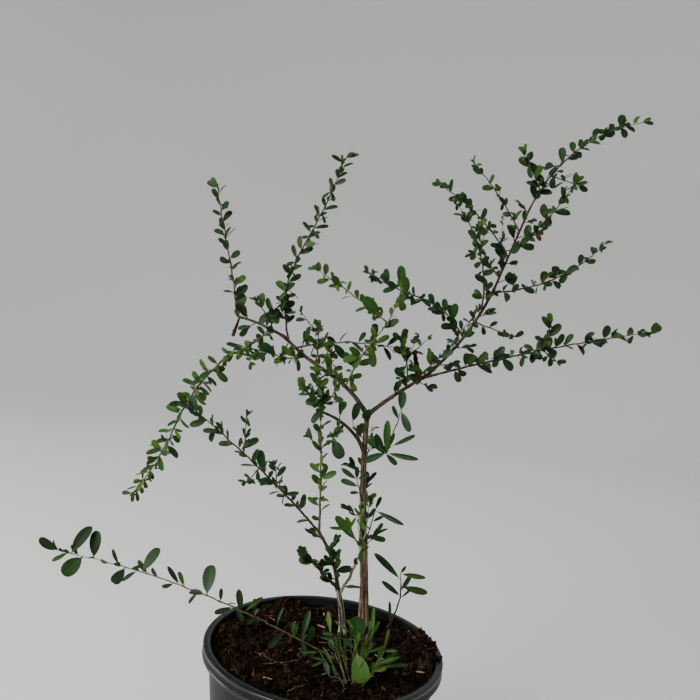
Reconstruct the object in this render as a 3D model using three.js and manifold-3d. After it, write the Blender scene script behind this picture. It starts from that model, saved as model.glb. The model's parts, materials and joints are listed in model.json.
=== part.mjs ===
// A young firethorn in its round nursery pot.
// Millimetres, +Z up, origin under the middle of the pot; +X is to the right when the shrub
// is looked at from its front, which is the -Y side.
import * as THREE from 'three';
import { mergeVertices } from 'three/addons/utils/BufferGeometryUtils.js';
import Module from 'manifold-3d';

const wasm = await Module();
wasm.setup();

// ---------------------------------------------------------------- driving dimensions

const GAP = 0.3; // air between neighbouring pieces

const POT_HEIGHT = 220;
const RIM_RADIUS = 125; // outside of the rolled lip
const RIM_WIDTH = 8; // across the top of the lip
const RIM_DEPTH = 13; // from the lip's top down to the body
const HEEL_RADIUS = 95; // outside of the foot
const FLOOR_THICKNESS = 3;
const WALL = 2.4;
const POT_SEGMENTS = 32;
const DRAIN_HOLES = 8;
const DRAIN_RADIUS = 7;
const DRILL_LENGTH = 24;
const LIP_TUCK = 1.2; // how far the wall reaches out under the lip

const SOIL_LEVEL = 212; // the soil lies a little below the rim
const SOIL_RINGS = 7;
const LUMP = 2.6; // half height of the soil's coarse crumbs
const FIRM_RADIUS = 18; // level soil pressed down round each foot

const FLARE_SPREAD = 3.2; // height over which a root flare fades, in flares
const BUTTRESS = 0.18; // how deep the trunk's foot is fluted
const FLUTES = 5;

const TWIG_SIDES = 3;
const RING_STEP = 20; // stem length between two rings of a bough or twig
const FOOT_RING_STEP = 12; // the same on a stem with a root flare
const LEAF_THICKNESS = 0.045; // share of the leaf's length
const LEAF_WIDEST = 0.6; // how far up the leaf it is widest
const LEAF_FULLNESS = 1.22; // the four-cornered blade is wider than the oval that it stands for
const LEAF_SPIRAL = 2.4; // radians from one leaf to the next round the stem
const LEAF_LIFT = 0.18; // how much a leaf turns up from the spread that its habit gives it
const LEAF_SINK = 0.35; // how deep a leaf's root stands in its twig, in twig radii
const BARE_FOOT = 0.06; // share of a stem below its first leaf
const SPUR_LENGTH = 9;
const LIMB_CLEARANCE = 1.2; // between a leaf and a limb's bark
const CROWDING = 0.75; // a leaf may reach a little past the middle between two shoots
const SMALLEST_EDGE = 0.02; // shorter edges, where leaves meet twigs, are closed up
const FIRST_SEED = 23;
const SEED_STEP = 7; // from one mass to the next

const EYE_HEIGHT = 630; // the front is looked at from here
const EYE_DISTANCE = 845;

// Leaves turn their faces to the light, which comes from the front, the left and above.
const LIGHT = new THREE.Vector3(-0.35, -0.75, 0.55).normalize();
const UP = new THREE.Vector3(0, 0, 1);

const FINISHES = {
  pot: { color: '#2b2d2f', roughness: 0.42 },
  soil: { color: '#3a2a20', roughness: 0.97 },
  bark: { color: '#7d6650', roughness: 0.85 },
  youngBark: { color: '#5a4034', roughness: 0.75 },
  deadWood: { color: '#4a3227', roughness: 0.9 },
  mature: { color: '#2f5233', roughness: 0.5 },
  fresh: { color: '#547a3a', roughness: 0.5 },
  pale: { color: '#86994b', roughness: 0.55 },
};

// How each kind of shoot carries its leaves: blade length, width as a share of it, stem between
// two leaves, spread from the stem in degrees, and the share of leaves that stand on a spur.
const HABITS = {
  mature: { length: 17, slim: 0.56, every: 10.4, spread: 58, spurs: 0.05 },
  small: { length: 14.5, slim: 0.56, every: 10, spread: 58, spurs: 0.04 },
  narrow: { length: 15, slim: 0.34, every: 13, spread: 52, spurs: 0 },
  broad: { length: 18.5, slim: 0.62, every: 11.5, spread: 62, spurs: 0.04 },
  tuft: { length: 19, slim: 0.45, every: 9, spread: 50, spurs: 0 },
  sparse: { length: 12, slim: 0.45, every: 90, spread: 52, spurs: 0 },
};

// ---------------------------------------------------------------- the shrub's limbs

// `on` and `at` say which limb carries this one, and how far up it. `reach` runs from root to
// tip, `bow` pushes the middle out, `sway` bends the two halves opposite ways.
const LIMBS = [
  { name: 'trunk', foot: [42, 46], reach: [-23, -4, 246], bow: [-2, 1, 0], sway: [1.5, 0, 0],
    radius: [5.4, 2.6], flare: 4, sides: 10, finish: 'bark' },
  { name: 'side_stem', foot: [20, 48], reach: [-12, -8, 54], bow: [1, 0, 0],
    radius: [3.1, 2.5], flare: 1.8, sides: 8, finish: 'bark' },
  { name: 'side_stem_bough', on: 'side_stem', at: 1, reach: [-28, -4, 62], bow: [4, 0, 2],
    radius: [2.2, 1.7], sides: 7, finish: 'youngBark' },
  { name: 'low_bough', on: 'trunk', at: 0.84, reach: [-44, -26, 36], bow: [3, 0, 4],
    radius: [1.9, 1.3], sides: 7, finish: 'youngBark' },
  { name: 'left_bough', on: 'trunk', at: 1, reach: [-95, 16, 69], bow: [2, 0, 3], sway: [2, 0, 2],
    radius: [2.4, 1.7], sides: 8, finish: 'youngBark' },
  { name: 'left_bough_end', on: 'left_bough', at: 1, reach: [-54, 8, 16], bow: [1, 0, 2],
    radius: [1.6, 1.2], sides: 7, finish: 'youngBark' },
  { name: 'right_bough', on: 'trunk', at: 1, reach: [56, 20, 43], bow: [-1, 0, 1],
    radius: [2.3, 1.8], sides: 8, finish: 'youngBark' },
  { name: 'right_bough_riser', on: 'right_bough', at: 1, reach: [66, 33, 100], bow: [5, 0, -4],
    radius: [1.7, 1.4], sides: 7, finish: 'youngBark' },
  { name: 'right_bough_top', on: 'right_bough_riser', at: 1, reach: [30, 23, 88],
    radius: [1.3, 1.1], sides: 7, finish: 'youngBark' },
  { name: 'dead_snag_right', on: 'right_bough', at: 0.88, reach: [-8, -2, 29],
    radius: [1.4, 0.6], sides: 6, finish: 'deadWood' },
  { name: 'dead_snag_left', on: 'left_bough_end', at: 0.94, reach: [-5, -3, -20],
    radius: [1.1, 0.5], sides: 6, finish: 'deadWood' },
];

// Single leaves that stand out are named one by one as [how far up, length, heading, slim]; the
// heading is in degrees seen from the front, from the right and up over the top.
const MASSES = [
  { name: 'low_sweeping_shoot', habit: 'sparse', finish: 'mature',
    stem: { foot: [13, -16], reach: [-275, -52, 104], bow: [4, 1, 12], sway: [-1, 0, -2.5] },
    leaves: [[1, 20, 147, 0.55], [0.965, 12, 151, 0.5], [0.96, 29, 62, 0.46], [0.92, 21, 225, 0.75],
      [0.89, 25, 94, 0.5], [0.83, 16, 163, 0.32], [0.825, 13, 188, 0.36], [0.795, 17, 79, 0.5],
      [0.785, 22, 238, 0.58], [0.74, 11, 153, 0.4], [0.73, 25, 65, 0.48], [0.725, 12, 346, 0.45],
      [0.655, 20, 112, 0.55], [0.605, 17, 164, 0.35], [0.6, 22, 123, 0.26],
      [0.59, 25, 69, 0.14], [0.5, 26, 94, 0.52], [0.49, 12, 46, 0.5], [0.45, 14, 96, 0.55],
      [0.42, 12, 67, 0.4], [0.375, 13, 141, 0.4], [0.36, 22, 43, 0.26],
      [0.24, 13, 134, 0.4], [0.2, 22, 40, 0.25], [0.14, 30, 80, 0.24]] },
  { name: 'sucker_fan', habit: 'sparse', finish: 'fresh',
    stem: { foot: [30, -50], reach: [2, 0, 36], bow: [1, 0, 0] },
    sides: [
      { at: 0.06, reach: [-21, 10, 24], bow: [-1, 0, 2],
        leaves: [[1, 25, 137, 0.42], [0.85, 22, 112, 0.4], [0.9, 14, 178, 0.4]] },
      { at: 0.1, reach: [17, -12, 21], bow: [1, 0, 4],
        leaves: [[1, 22, 292, 0.72], [0.7, 14, 60, 0.4]] },
      { at: 0.14, reach: [34, 10, 40], bow: [1, 0, 2],
        leaves: [[0.7, 29, 42, 0.25], [1, 31, 330, 0.24], [0.45, 17, 358, 0.4], [0.6, 18, 100, 0.3]] },
      { at: 0.2, reach: [1, 10, 46], leaves: [[1, 18, 66, 0.32], [0.9, 14, 120, 0.3]] },
      { at: 0.12, reach: [-19, 14, 38], bow: [-2, 0, 3],
        leaves: [[0.92, 25, 130, 0.28], [1, 28, 94, 0.25]] },
      { at: 0.16, reach: [-47, 14, 6], bow: [0, 0, 6],
        leaves: [[0.55, 16, 244, 0.4], [1, 12, 190, 0.35], [0.8, 11, 120, 0.4]] }],
    leaves: [[1, 22, 96, 0.74], [0.85, 17, 150, 0.4], [0.8, 17, 20, 0.4], [0.6, 16, 110, 0.35]] },
  { name: 'soil_shoot', habit: 'sparse', finish: 'mature',
    stem: { foot: [69, 70], reach: [7, -6, 68], bow: [6, 0, 0] },
    leaves: [[0.89, 41, 141, 0.22], [0.6, 28, 141, 0.24], [1, 27, 4, 0.24], [0.7, 21, 63, 0.32],
      [0.78, 32, 352, 0.3], [0.56, 18, 42, 0.18], [1, 10, 60, 0.4], [0.08, 21, 94, 0.16]] },
  { name: 'side_stem_left_spray', habit: 'small', finish: 'mature',
    stem: { on: 'side_stem', at: 0.93, reach: [-36, -10, 33], bow: [1, 0, 1] } },
  { name: 'side_stem_right_spray', habit: 'narrow', finish: 'fresh',
    stem: { on: 'side_stem', at: 0.84, reach: [15, -16, 56], bow: [2, 0, 0] },
    leaves: [[0.1, 20, 10, 0.16]] },
  { name: 'side_stem_tuft', habit: 'tuft', finish: 'mature',
    stem: { on: 'side_stem_bough', at: 0.22, reach: [-4, -22, 26], bow: [0, -3, 0] } },
  { name: 'lower_left_shoot', habit: 'mature', finish: 'mature',
    stem: { on: 'side_stem_bough', at: 1, reach: [-146, -28, 127], bow: [3, 0, 3] },
    sides: [{ at: 0.6, reach: [1, -8, 41], habit: 'narrow' },
      { at: 0.48, reach: [-11, -8, -13] }, { at: 0.34, reach: [-4, -8, 24] }],
    leaves: [[1, 14, 130, 0.5], [0.93, 18, 120, 0.55], [0.86, 17, 200, 0.5], [0.8, 17, 250, 0.5],
      [0.46, 22, 100, 0.5], [0.62, 22, 42, 0.45]] },
  { name: 'slender_upright', habit: 'narrow', finish: 'fresh',
    stem: { on: 'side_stem_bough', at: 0.96, reach: [-11, -18, 126], bow: [1, 0, 0] },
    sides: [{ at: 0.72, reach: [-13, -4, 9] }] },
  { name: 'low_bough_cluster', habit: 'broad', finish: 'fresh',
    stem: { on: 'low_bough', at: 1, reach: [-11, -13, 42] },
    sides: [{ at: 0.08, reach: [-22, -18, 24], bow: [-3, 0, 2] },
      { at: 0.12, reach: [16, -14, 34], bow: [4, 0, 0] },
      { at: 0.3, reach: [-6, 14, 26] }],
    leaves: [[0.05, 15, 235, 0.5], [0.3, 16, 200, 0.6]] },
  { name: 'low_bough_hanging_spray', habit: 'tuft', finish: 'fresh',
    stem: { on: 'low_bough', at: 0.62, reach: [-6, -12, -16] },
    leaves: [[0.9, 18, 300, 0.7]] },
  { name: 'upper_left_shoot', habit: 'mature', finish: 'mature',
    stem: { on: 'left_bough_end', at: 1, reach: [-28, -22, 127], bow: [1, 0, 0], sway: [1, 0, 0] },
    leaves: [[0.1, 20, 60, 0.5], [1, 14, 150, 0.55]] },
  { name: 'tall_left_shoot', habit: 'small', finish: 'mature',
    stem: { on: 'left_bough', at: 0.95, reach: [42, -32, 190], bow: [-14, 0, 1], sway: [-6, 0, 0] },
    leaves: [[1, 13, 20, 0.4], [0.97, 14, 150, 0.4]] },
  { name: 'left_cross_shoot', habit: 'mature', finish: 'mature',
    stem: { on: 'left_bough', at: 0.86, reach: [106, -10, 11], bow: [0, 3, 6] } },
  { name: 'left_bough_spur', habit: 'mature', finish: 'fresh',
    stem: { on: 'left_bough', at: 0.45, reach: [-5, -14, 30] } },
  { name: 'drooping_shoot_arch', habit: 'broad', finish: 'fresh',
    stem: { on: 'left_bough', at: 0.76, reach: [-84, 28, -14], bow: [4, 4, 4], sway: [2, 0, -5] } },
  { name: 'drooping_shoot', habit: 'mature', finish: 'fresh',
    stem: { on: 'drooping_shoot_arch', at: 1, reach: [-103, 48, -182], bow: [-3, 0, 2],
      sway: [-4, 0, 3] } },
  { name: 'under_bough_spray', habit: 'mature', finish: 'fresh',
    stem: { on: 'left_bough_end', at: 0.2, reach: [-30, -16, -22], bow: [0, 0, 3] },
    sides: [{ at: 0.9, reach: [8, -4, -13] }] },
  { name: 'bough_end_spray', habit: 'mature', finish: 'mature',
    stem: { on: 'left_bough_end', at: 0.5, reach: [19, -12, 25] },
    sides: [{ at: 0.3, reach: [-12, -10, 16] }] },
  { name: 'pale_upright_shoot', habit: 'mature', finish: 'pale',
    stem: { on: 'left_bough', at: 0.3, reach: [44, -46, 111], bow: [3, 1, 0], sway: [-3, 0, 1] },
    sides: [{ at: 0.66, reach: [-76, -8, 46], bow: [-1, 0, 2] }],
    leaves: [[0.17, 19, 130, 0.5], [0.2, 17, 20, 0.5], [0.06, 15, 300, 0.5],
      [0.42, 24, 285, 0.42], [0.6, 17, 40, 0.5], [0.8, 18, 60, 0.5], [1, 20, 100, 0.5]] },
  { name: 'long_right_shoot', habit: 'mature', finish: 'mature',
    stem: { on: 'right_bough', at: 0.93, reach: [240, 38, 70], bow: [-1, 0, 4] },
    sides: [{ at: 0.52, reach: [-2, -6, 28] }, { at: 0.5, reach: [14, -10, -10] }],
    leaves: [[1, 13, 40, 0.75], [0.78, 15, 85, 0.65], [0.92, 12, 250, 0.5]] },
  { name: 'right_riser_spray', habit: 'small', finish: 'mature',
    stem: { on: 'right_bough_riser', at: 0.66, reach: [44, 4, -11], bow: [0, 0, -1] } },
  { name: 'crossing_shoot', habit: 'mature', finish: 'mature',
    stem: { on: 'right_bough_riser', at: 0.48, reach: [-110, -24, 57], bow: [4, 0, 8],
      sway: [2, 0, 3] } },
  { name: 'outer_right_shoot', habit: 'mature', finish: 'mature',
    stem: { on: 'right_bough_riser', at: 0.96, reach: [120, 29, 66], bow: [8, 0, -10] } },
  { name: 'inner_right_shoot', habit: 'small', finish: 'mature',
    stem: { on: 'right_bough_riser', at: 0.76, reach: [-45, -38, 108], bow: [11, 0, 5] } },
  { name: 'short_pale_shoot', habit: 'small', finish: 'pale',
    stem: { on: 'right_bough_top', at: 0.14, reach: [-32, -26, 50], bow: [-4, 0, -2] } },
  { name: 'upper_inner_shoot', habit: 'small', finish: 'mature',
    stem: { on: 'right_bough_top', at: 0.4, reach: [-86, -34, 66], bow: [4, 0, 6] } },
  { name: 'upper_outer_shoot', habit: 'mature', finish: 'mature',
    stem: { on: 'right_bough_top', at: 0.48, reach: [47, -46, 73], bow: [3, -2, -2] },
    leaves: [[1, 12, 20, 0.4]] },
  { name: 'upper_middle_shoot', habit: 'small', finish: 'mature',
    stem: { on: 'right_bough_top', at: 0.74, reach: [-57, 10, 68], bow: [2, 0, 2] } },
  { name: 'top_right_shoot', habit: 'mature', finish: 'mature',
    stem: { on: 'right_bough_top', at: 1, reach: [122, 33, 116], bow: [-14, 0, 15] },
    sides: [{ at: 0.15, reach: [-22, -6, 36] }, { at: 0.27, reach: [28, -14, -9] },
      { at: 0.36, reach: [-26, -6, -7] }],
    leaves: [[1, 12, 0, 0.5], [0.86, 12, 300, 0.8], [0.86, 12, 110, 0.75]] },
  { name: 'trunk_rosette', habit: 'sparse', finish: 'mature',
    stem: { on: 'trunk', at: 0.79, reach: [19, -34, 20] },
    sides: [{ at: 0.7, reach: [10, -8, 12], leaves: [[1, 28, 29, 0.2], [0.8, 16, 78, 0.3]] }],
    leaves: [[1, 27, 152, 0.3], [1, 34, 95, 0.27], [1, 31, 0, 0.2], [0.95, 18, 320, 0.38],
      [1, 25, 210, 0.35], [0.9, 13, 148, 0.35], [0.85, 23, 116, 0.4], [0.75, 15, 60, 0.35]] },
  { name: 'trunk_spray_upper', habit: 'sparse', finish: 'mature',
    stem: { on: 'trunk', at: 0.6, reach: [-8, -16, 25] },
    leaves: [[1, 20, 149, 0.32], [0.6, 21, 166, 0.36], [0.35, 10, 180, 0.4], [1, 14, 33, 0.32],
      [1, 14, 95, 0.4]] },
  { name: 'trunk_spray_middle', habit: 'sparse', finish: 'fresh',
    stem: { on: 'trunk', at: 0.375, reach: [-14, -13, 24] },
    leaves: [[0.4, 34, 136, 0.34], [0.85, 17, 114, 0.42], [1, 21, 178, 0.2], [1, 14, 70, 0.3],
      [0.6, 12, 150, 0.35]] },
  { name: 'trunk_spray_right', habit: 'sparse', finish: 'mature',
    stem: { on: 'trunk', at: 0.4, reach: [5, -13, 37] },
    leaves: [[1, 30, 348, 0.18], [0.1, 21, 354, 0.36], [1, 15, 70, 0.3], [0.6, 14, 30, 0.3]] },
  { name: 'fork_spray', habit: 'mature', finish: 'mature',
    stem: { on: 'right_bough', at: 0.66, reach: [-12, -14, 48], bow: [3, 0, 1] },
    leaves: [[1, 15, 70, 0.5], [0.4, 17, 350, 0.45]] },
  { name: 'fork_spray_right', habit: 'mature', finish: 'mature',
    stem: { on: 'right_bough', at: 0.8, reach: [20, -22, 30], bow: [0, -3, 2] },
    leaves: [[1, 16, 40, 0.5], [0.7, 15, 110, 0.5]] },
  { name: 'back_left_shoot', habit: 'mature', finish: 'mature',
    stem: { on: 'left_bough', at: 0.6, reach: [-12, 104, 34], bow: [0, 0, 12] },
    sides: [{ at: 0.45, reach: [-22, 20, 20] }] },
  { name: 'back_right_shoot', habit: 'mature', finish: 'mature',
    stem: { on: 'right_bough', at: 0.5, reach: [22, 92, 52], bow: [0, 0, 8] },
    sides: [{ at: 0.5, reach: [20, 18, 18] }] },
  { name: 'back_low_shoot', habit: 'mature', finish: 'mature',
    stem: { on: 'trunk', at: 0.72, reach: [8, 76, 34], bow: [0, 0, 8] } },
  { name: 'back_upper_shoot', habit: 'small', finish: 'mature',
    stem: { on: 'right_bough_top', at: 0.25, reach: [6, 82, 56], bow: [0, 4, -3] } },
  { name: 'front_left_shoot', habit: 'mature', finish: 'mature',
    stem: { on: 'left_bough', at: 0.62, reach: [2, -92, 48], bow: [0, 0, 8] } },
  { name: 'front_right_shoot', habit: 'mature', finish: 'mature',
    stem: { on: 'right_bough_riser', at: 0.3, reach: [6, -92, 40], bow: [0, 0, 8] } },
];

// ---------------------------------------------------------------- solids

// A closed geometry as a solid that can be joined and cut.
function toSolid(geometry) {
  const bare = geometry.clone();
  bare.deleteAttribute('normal');
  bare.deleteAttribute('uv');
  const merged = mergeVertices(bare, 1e-4);
  return new wasm.Manifold(new wasm.Mesh({
    numProp: 3,
    vertProperties: new Float32Array(merged.getAttribute('position').array),
    triVerts: new Uint32Array(merged.getIndex().array),
  }));
}

function toGeometry(solid) {
  const mesh = solid.getMesh();
  const geometry = new THREE.BufferGeometry();
  geometry.setAttribute('position', new THREE.BufferAttribute(mesh.vertProperties, 3));
  geometry.setIndex(new THREE.BufferAttribute(mesh.triVerts, 1));
  geometry.computeVertexNormals();
  return geometry;
}

// Joins overlapping solids and keeps the one body that carries the rest.
function fuse(solids) {
  const pieces = wasm.Manifold.union(solids).decompose();
  const whole = pieces.reduce((best, piece) => (piece.volume() > best.volume() ? piece : best));
  return whole.simplify(SMALLEST_EDGE);
}

const vector = ([x, y, z]) => new THREE.Vector3(x, y, z);

// A repeatable stream of numbers from 0 to 1.
function numbersFrom(seed) {
  let state = seed;
  return () => {
    state = (state + 0x6d2b79f5) | 0;
    let mixed = Math.imul(state ^ (state >>> 15), 1 | state);
    mixed = (mixed + Math.imul(mixed ^ (mixed >>> 7), 61 | mixed)) ^ mixed;
    return ((mixed ^ (mixed >>> 14)) >>> 0) / 4294967296;
  };
}

// ---------------------------------------------------------------- pot and soil

function latheSolid(outline) {
  const points = outline.map(([radius, z]) => new THREE.Vector2(radius, z));
  const geometry = new THREE.LatheGeometry(points, POT_SEGMENTS);
  geometry.rotateX(Math.PI / 2);
  return geometry;
}

const BODY_TOP = POT_HEIGHT - RIM_DEPTH;
const BODY_RADIUS = RIM_RADIUS - RIM_WIDTH + LIP_TUCK; // outside of the wall under the lip
const HEEL_HEIGHT = 12;
const bodyRadiusAt = (z) => (
  THREE.MathUtils.mapLinear(z, HEEL_HEIGHT, BODY_TOP, HEEL_RADIUS + 1, BODY_RADIUS));

function makePot() {
  const lipMiddle = RIM_RADIUS - RIM_WIDTH / 2;
  const shell = toSolid(latheSolid([
    [0, 0], [HEEL_RADIUS - 5, 0], [HEEL_RADIUS - 1, 3], [HEEL_RADIUS + 1, HEEL_HEIGHT],
    [BODY_RADIUS, BODY_TOP], [BODY_RADIUS + 1.6, BODY_TOP + 0.6],
    [RIM_RADIUS - 1.2, BODY_TOP + 0.4], [RIM_RADIUS - 0.2, BODY_TOP + 2],
    [RIM_RADIUS - 0.8, BODY_TOP + 4], [RIM_RADIUS, POT_HEIGHT - 4],
    [RIM_RADIUS - 1.4, POT_HEIGHT - 1], [lipMiddle, POT_HEIGHT],
    [RIM_RADIUS - RIM_WIDTH + 0.9, POT_HEIGHT - 1.2], [RIM_RADIUS - RIM_WIDTH, POT_HEIGHT - 4],
    [BODY_RADIUS - WALL, BODY_TOP - 2], [bodyRadiusAt(HEEL_HEIGHT) - WALL, HEEL_HEIGHT],
    [HEEL_RADIUS - 5, FLOOR_THICKNESS], [0, FLOOR_THICKNESS]]));
  let pot = shell;
  for (let i = 0; i < DRAIN_HOLES; i += 1) {
    const drill = new THREE.CylinderGeometry(DRAIN_RADIUS, DRAIN_RADIUS, DRILL_LENGTH, 6);
    drill.rotateZ(Math.PI / 4);
    drill.rotateX(Math.PI / 2);
    drill.translate(HEEL_RADIUS, 0, 1);
    drill.rotateZ((i / DRAIN_HOLES) * 2 * Math.PI + Math.PI / POT_SEGMENTS);
    pot = pot.subtract(toSolid(drill));
  }
  return toGeometry(pot);
}

const feet = [...LIMBS.map((limb) => limb.foot), ...MASSES.map((mass) => mass.stem.foot)]
  .filter(Boolean);

// The soil is crumbly, heaped against the rim on the right and at the back left, and level
// where each stem stands in it.
function soilHeight(x, y) {
  const crumbs = Math.sin(x * 0.21 + 1.3) * Math.sin(y * 0.24 + 0.4)
    + 0.7 * Math.sin(x * 0.09 - y * 0.13 + 2.1) + 0.5 * Math.sin(x * 0.33 + y * 0.29);
  const heapRight = 5 * Math.exp(-((x - 108) ** 2 + (y - 18) ** 2) / 1400);
  const heapBack = 6 * Math.exp(-((x + 42) ** 2 + (y - 100) ** 2) / 500);
  const nearest = Math.min(...feet.map(([fx, fy]) => Math.hypot(x - fx, y - fy)));
  const loose = THREE.MathUtils.smoothstep(nearest, FIRM_RADIUS, FIRM_RADIUS + 16);
  return SOIL_LEVEL + loose * (LUMP * crumbs / 1.4 - 1 + heapRight + heapBack);
}

function makeSoil() {
  const top = BODY_RADIUS - WALL - 2 * GAP;
  const outline = [[0, FLOOR_THICKNESS + GAP], [HEEL_RADIUS - 5.4, FLOOR_THICKNESS + GAP],
    [bodyRadiusAt(HEEL_HEIGHT) - WALL - 2 * GAP, HEEL_HEIGHT + 1], [top, BODY_TOP - 2],
    [top, SOIL_LEVEL - 0.5]];
  for (let ring = SOIL_RINGS - 1; ring >= 0; ring -= 1) {
    outline.push([((top - 2) * ring) / (SOIL_RINGS - 1), SOIL_LEVEL]);
  }
  const geometry = latheSolid(outline);
  const position = geometry.getAttribute('position');
  for (let i = 0; i < position.count; i += 1) {
    if (position.getZ(i) > SOIL_LEVEL - 0.1) {
      position.setZ(i, soilHeight(position.getX(i), position.getY(i)));
    }
  }
  return toGeometry(toSolid(geometry));
}

// ---------------------------------------------------------------- limbs

// The centre line of a limb, from its root to its tip.
class LimbCurve extends THREE.Curve {
  constructor(root, { reach, bow = [0, 0, 0], sway = [0, 0, 0] }) {
    super();
    this.root = root;
    this.reach = vector(reach);
    this.bow = vector(bow);
    this.sway = vector(sway);
    const sideways = Math.abs(this.reach.y) < 0.8 * this.reach.length();
    this.across = sideways ? new THREE.Vector3(0, 1, 0) : new THREE.Vector3(1, 0, 0);
  }

  getPoint(t, target = new THREE.Vector3()) {
    return target.copy(this.root)
      .addScaledVector(this.reach, t)
      .addScaledVector(this.bow, 4 * t * (1 - t))
      .addScaledVector(this.sway, Math.sin(2 * Math.PI * t));
  }

  getTangent(t, target = new THREE.Vector3()) {
    return target.copy(this.reach)
      .addScaledVector(this.bow, 4 * (1 - 2 * t))
      .addScaledVector(this.sway, 2 * Math.PI * Math.cos(2 * Math.PI * t))
      .normalize();
  }

  // Two directions square to the centre line, turned `angle` round it.
  squareTo(t, angle) {
    const tangent = this.getTangent(t);
    const side = new THREE.Vector3().crossVectors(tangent, this.across).normalize();
    return side.applyAxisAngle(tangent, angle);
  }
}

const ringsFor = (length, step = RING_STEP) => Math.max(2, Math.ceil(length / step));

// A limb with its thickness: radius at the root and the tip, and a flare at the foot.
function makeLimb(node, root, spec, radius) {
  const curve = new LimbCurve(root, spec);
  const length = curve.getLength();
  const [base, tip] = radius;
  const flare = spec.flare ?? 0;
  const thickness = (t) => (
    THREE.MathUtils.lerp(base, tip, t)
    + flare * Math.exp(-(t * length) / (FLARE_SPREAD * flare + 0.01)));
  return { node, curve, length, thickness, flatFoot: Boolean(spec.foot), flare };
}

// A closed tapered tube: a capped cylinder bent along the limb's centre line.
function limbGeometry(limb, sides, rings) {
  const geometry = new THREE.CylinderGeometry(1, 1, 1, sides, rings);
  const position = geometry.getAttribute('position');
  for (let i = 0; i < position.count; i += 1) {
    const t = THREE.MathUtils.clamp(position.getY(i) + 0.5, 0, 1);
    const angle = Math.atan2(-position.getZ(i), position.getX(i));
    const rim = Math.hypot(position.getX(i), position.getZ(i));
    const fluting = BUTTRESS * Math.min(1, limb.flare / 3) * (1 - t) ** 12;
    const buttress = 1 + fluting * Math.cos(FLUTES * angle + 1);
    const point = limb.curve.getPoint(t);
    if (rim > 0.5) {
      point.addScaledVector(limb.curve.squareTo(t, angle), limb.thickness(t) * buttress);
    }
    if (limb.flatFoot && t === 0) {
      point.z = limb.curve.root.z;
    }
    position.setXYZ(i, point.x, point.y, point.z);
  }
  return geometry;
}

// Where a limb starts so that its cut end stands GAP clear of what carries it.
function rootOf(spec, radius, limbs) {
  if (spec.foot) {
    const [x, y] = spec.foot;
    return new THREE.Vector3(x, y, SOIL_LEVEL + GAP);
  }
  const carrier = limbs[spec.on];
  const direction = new LimbCurve(new THREE.Vector3(), spec).getTangent(0);
  const along = carrier.curve.getTangent(spec.at);
  const slope = direction.dot(along);
  const lean = Math.sqrt(1 - slope * slope);
  const atTip = spec.at === 1;
  const away = atTip
    ? (GAP + radius * lean) / Math.max(slope, 0.3)
    : (GAP + carrier.thickness(spec.at) + radius * Math.abs(slope)) / Math.max(lean, 0.3);
  return carrier.curve.getPoint(spec.at).addScaledVector(direction, away);
}

// ---------------------------------------------------------------- leaves

// A leaf blade: two long three-sided points base to base, drawn out thin, with its flat side up
// and its midrib as a keel below. It is narrow at its root and widest past its middle.
function leafGeometry({ root, along, face, length, slim }) {
  const geometry = new THREE.SphereGeometry(1, 3, 2);
  const across = new THREE.Vector3().crossVectors(face, along);
  const position = geometry.getAttribute('position');
  const edge = Math.sin(Math.PI / 3); // how far out the two corners of the flat side lie
  for (let i = 0; i < position.count; i += 1) {
    const share = Math.abs(position.getY(i)) > 0.5 ? (position.getY(i) + 1) / 2 : LEAF_WIDEST;
    const point = root.clone()
      .addScaledVector(along, share * length)
      .addScaledVector(across, (position.getZ(i) / edge) * (LEAF_FULLNESS * slim * length) / 2)
      .addScaledVector(face, position.getX(i) * LEAF_THICKNESS * length * (2 / 3));
    position.setXYZ(i, point.x, point.y, point.z);
  }
  return geometry;
}

function placeLeaf(shoot, t, along, roll, length, slim) {
  const face = LIGHT.clone().addScaledVector(along, -LIGHT.dot(along)).normalize()
    .applyAxisAngle(along, roll);
  const root = shoot.curve.getPoint(t).addScaledVector(along, -LEAF_SINK * shoot.thickness(t));
  return { root, along, face, length, slim };
}

// The leaves that stand round a shoot by rule, with a few on short spurs.
function leavesByRule(shoot, habit, random) {
  const found = { leaves: [], spurs: [] };
  const count = Math.round((shoot.length * (1 - BARE_FOOT)) / habit.every);
  const turn = random() * 2 * Math.PI;
  for (let i = 0; i <= count; i += 1) {
    const t = Math.min(1, BARE_FOOT + (1 - BARE_FOOT) * ((i + 0.5 * random()) / count));
    const opened = habit.spread * (0.75 + 0.5 * random()) * (1.1 - 0.45 * t);
    const spread = THREE.MathUtils.degToRad(opened);
    const side = shoot.curve.squareTo(t, turn + i * LEAF_SPIRAL + 0.7 * (random() - 0.5));
    const along = shoot.curve.getTangent(t).multiplyScalar(Math.cos(spread))
      .addScaledVector(side, Math.sin(spread)).addScaledVector(UP, LEAF_LIFT).normalize();
    const length = habit.length * (0.72 + 0.5 * random()) * (1 - 0.25 * t ** 4);
    const roll = (random() - 0.5) * 2.2;
    const slim = habit.slim * (0.85 + 0.3 * random());
    if (random() < habit.spurs && t < 0.9) {
      const spurLength = SPUR_LENGTH * (0.7 + 0.6 * random());
      found.spurs.push({ t, along, length: spurLength, leafLength: length });
    } else {
      found.leaves.push(placeLeaf(shoot, t, along, roll, length, slim));
    }
  }
  return found;
}

// A leaf named in the list, whose heading is given as seen from the front: it lies square to
// the line of sight, so it leans back where it is seen from above.
function namedLeaf(shoot, [t, length, heading, slim], random) {
  const angle = THREE.MathUtils.degToRad(heading);
  const lean = Math.sin(angle) * (EYE_HEIGHT - shoot.curve.getPoint(t).z) / EYE_DISTANCE;
  const along = new THREE.Vector3(Math.cos(angle), lean - 0.2 * random(), Math.sin(angle));
  return placeLeaf(shoot, t, along.normalize(), 0.7 * (random() - 0.5), length, slim);
}

// ---------------------------------------------------------------- each mass's own space

const segment = new THREE.Line3();
const nearest = new THREE.Vector3();

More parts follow.
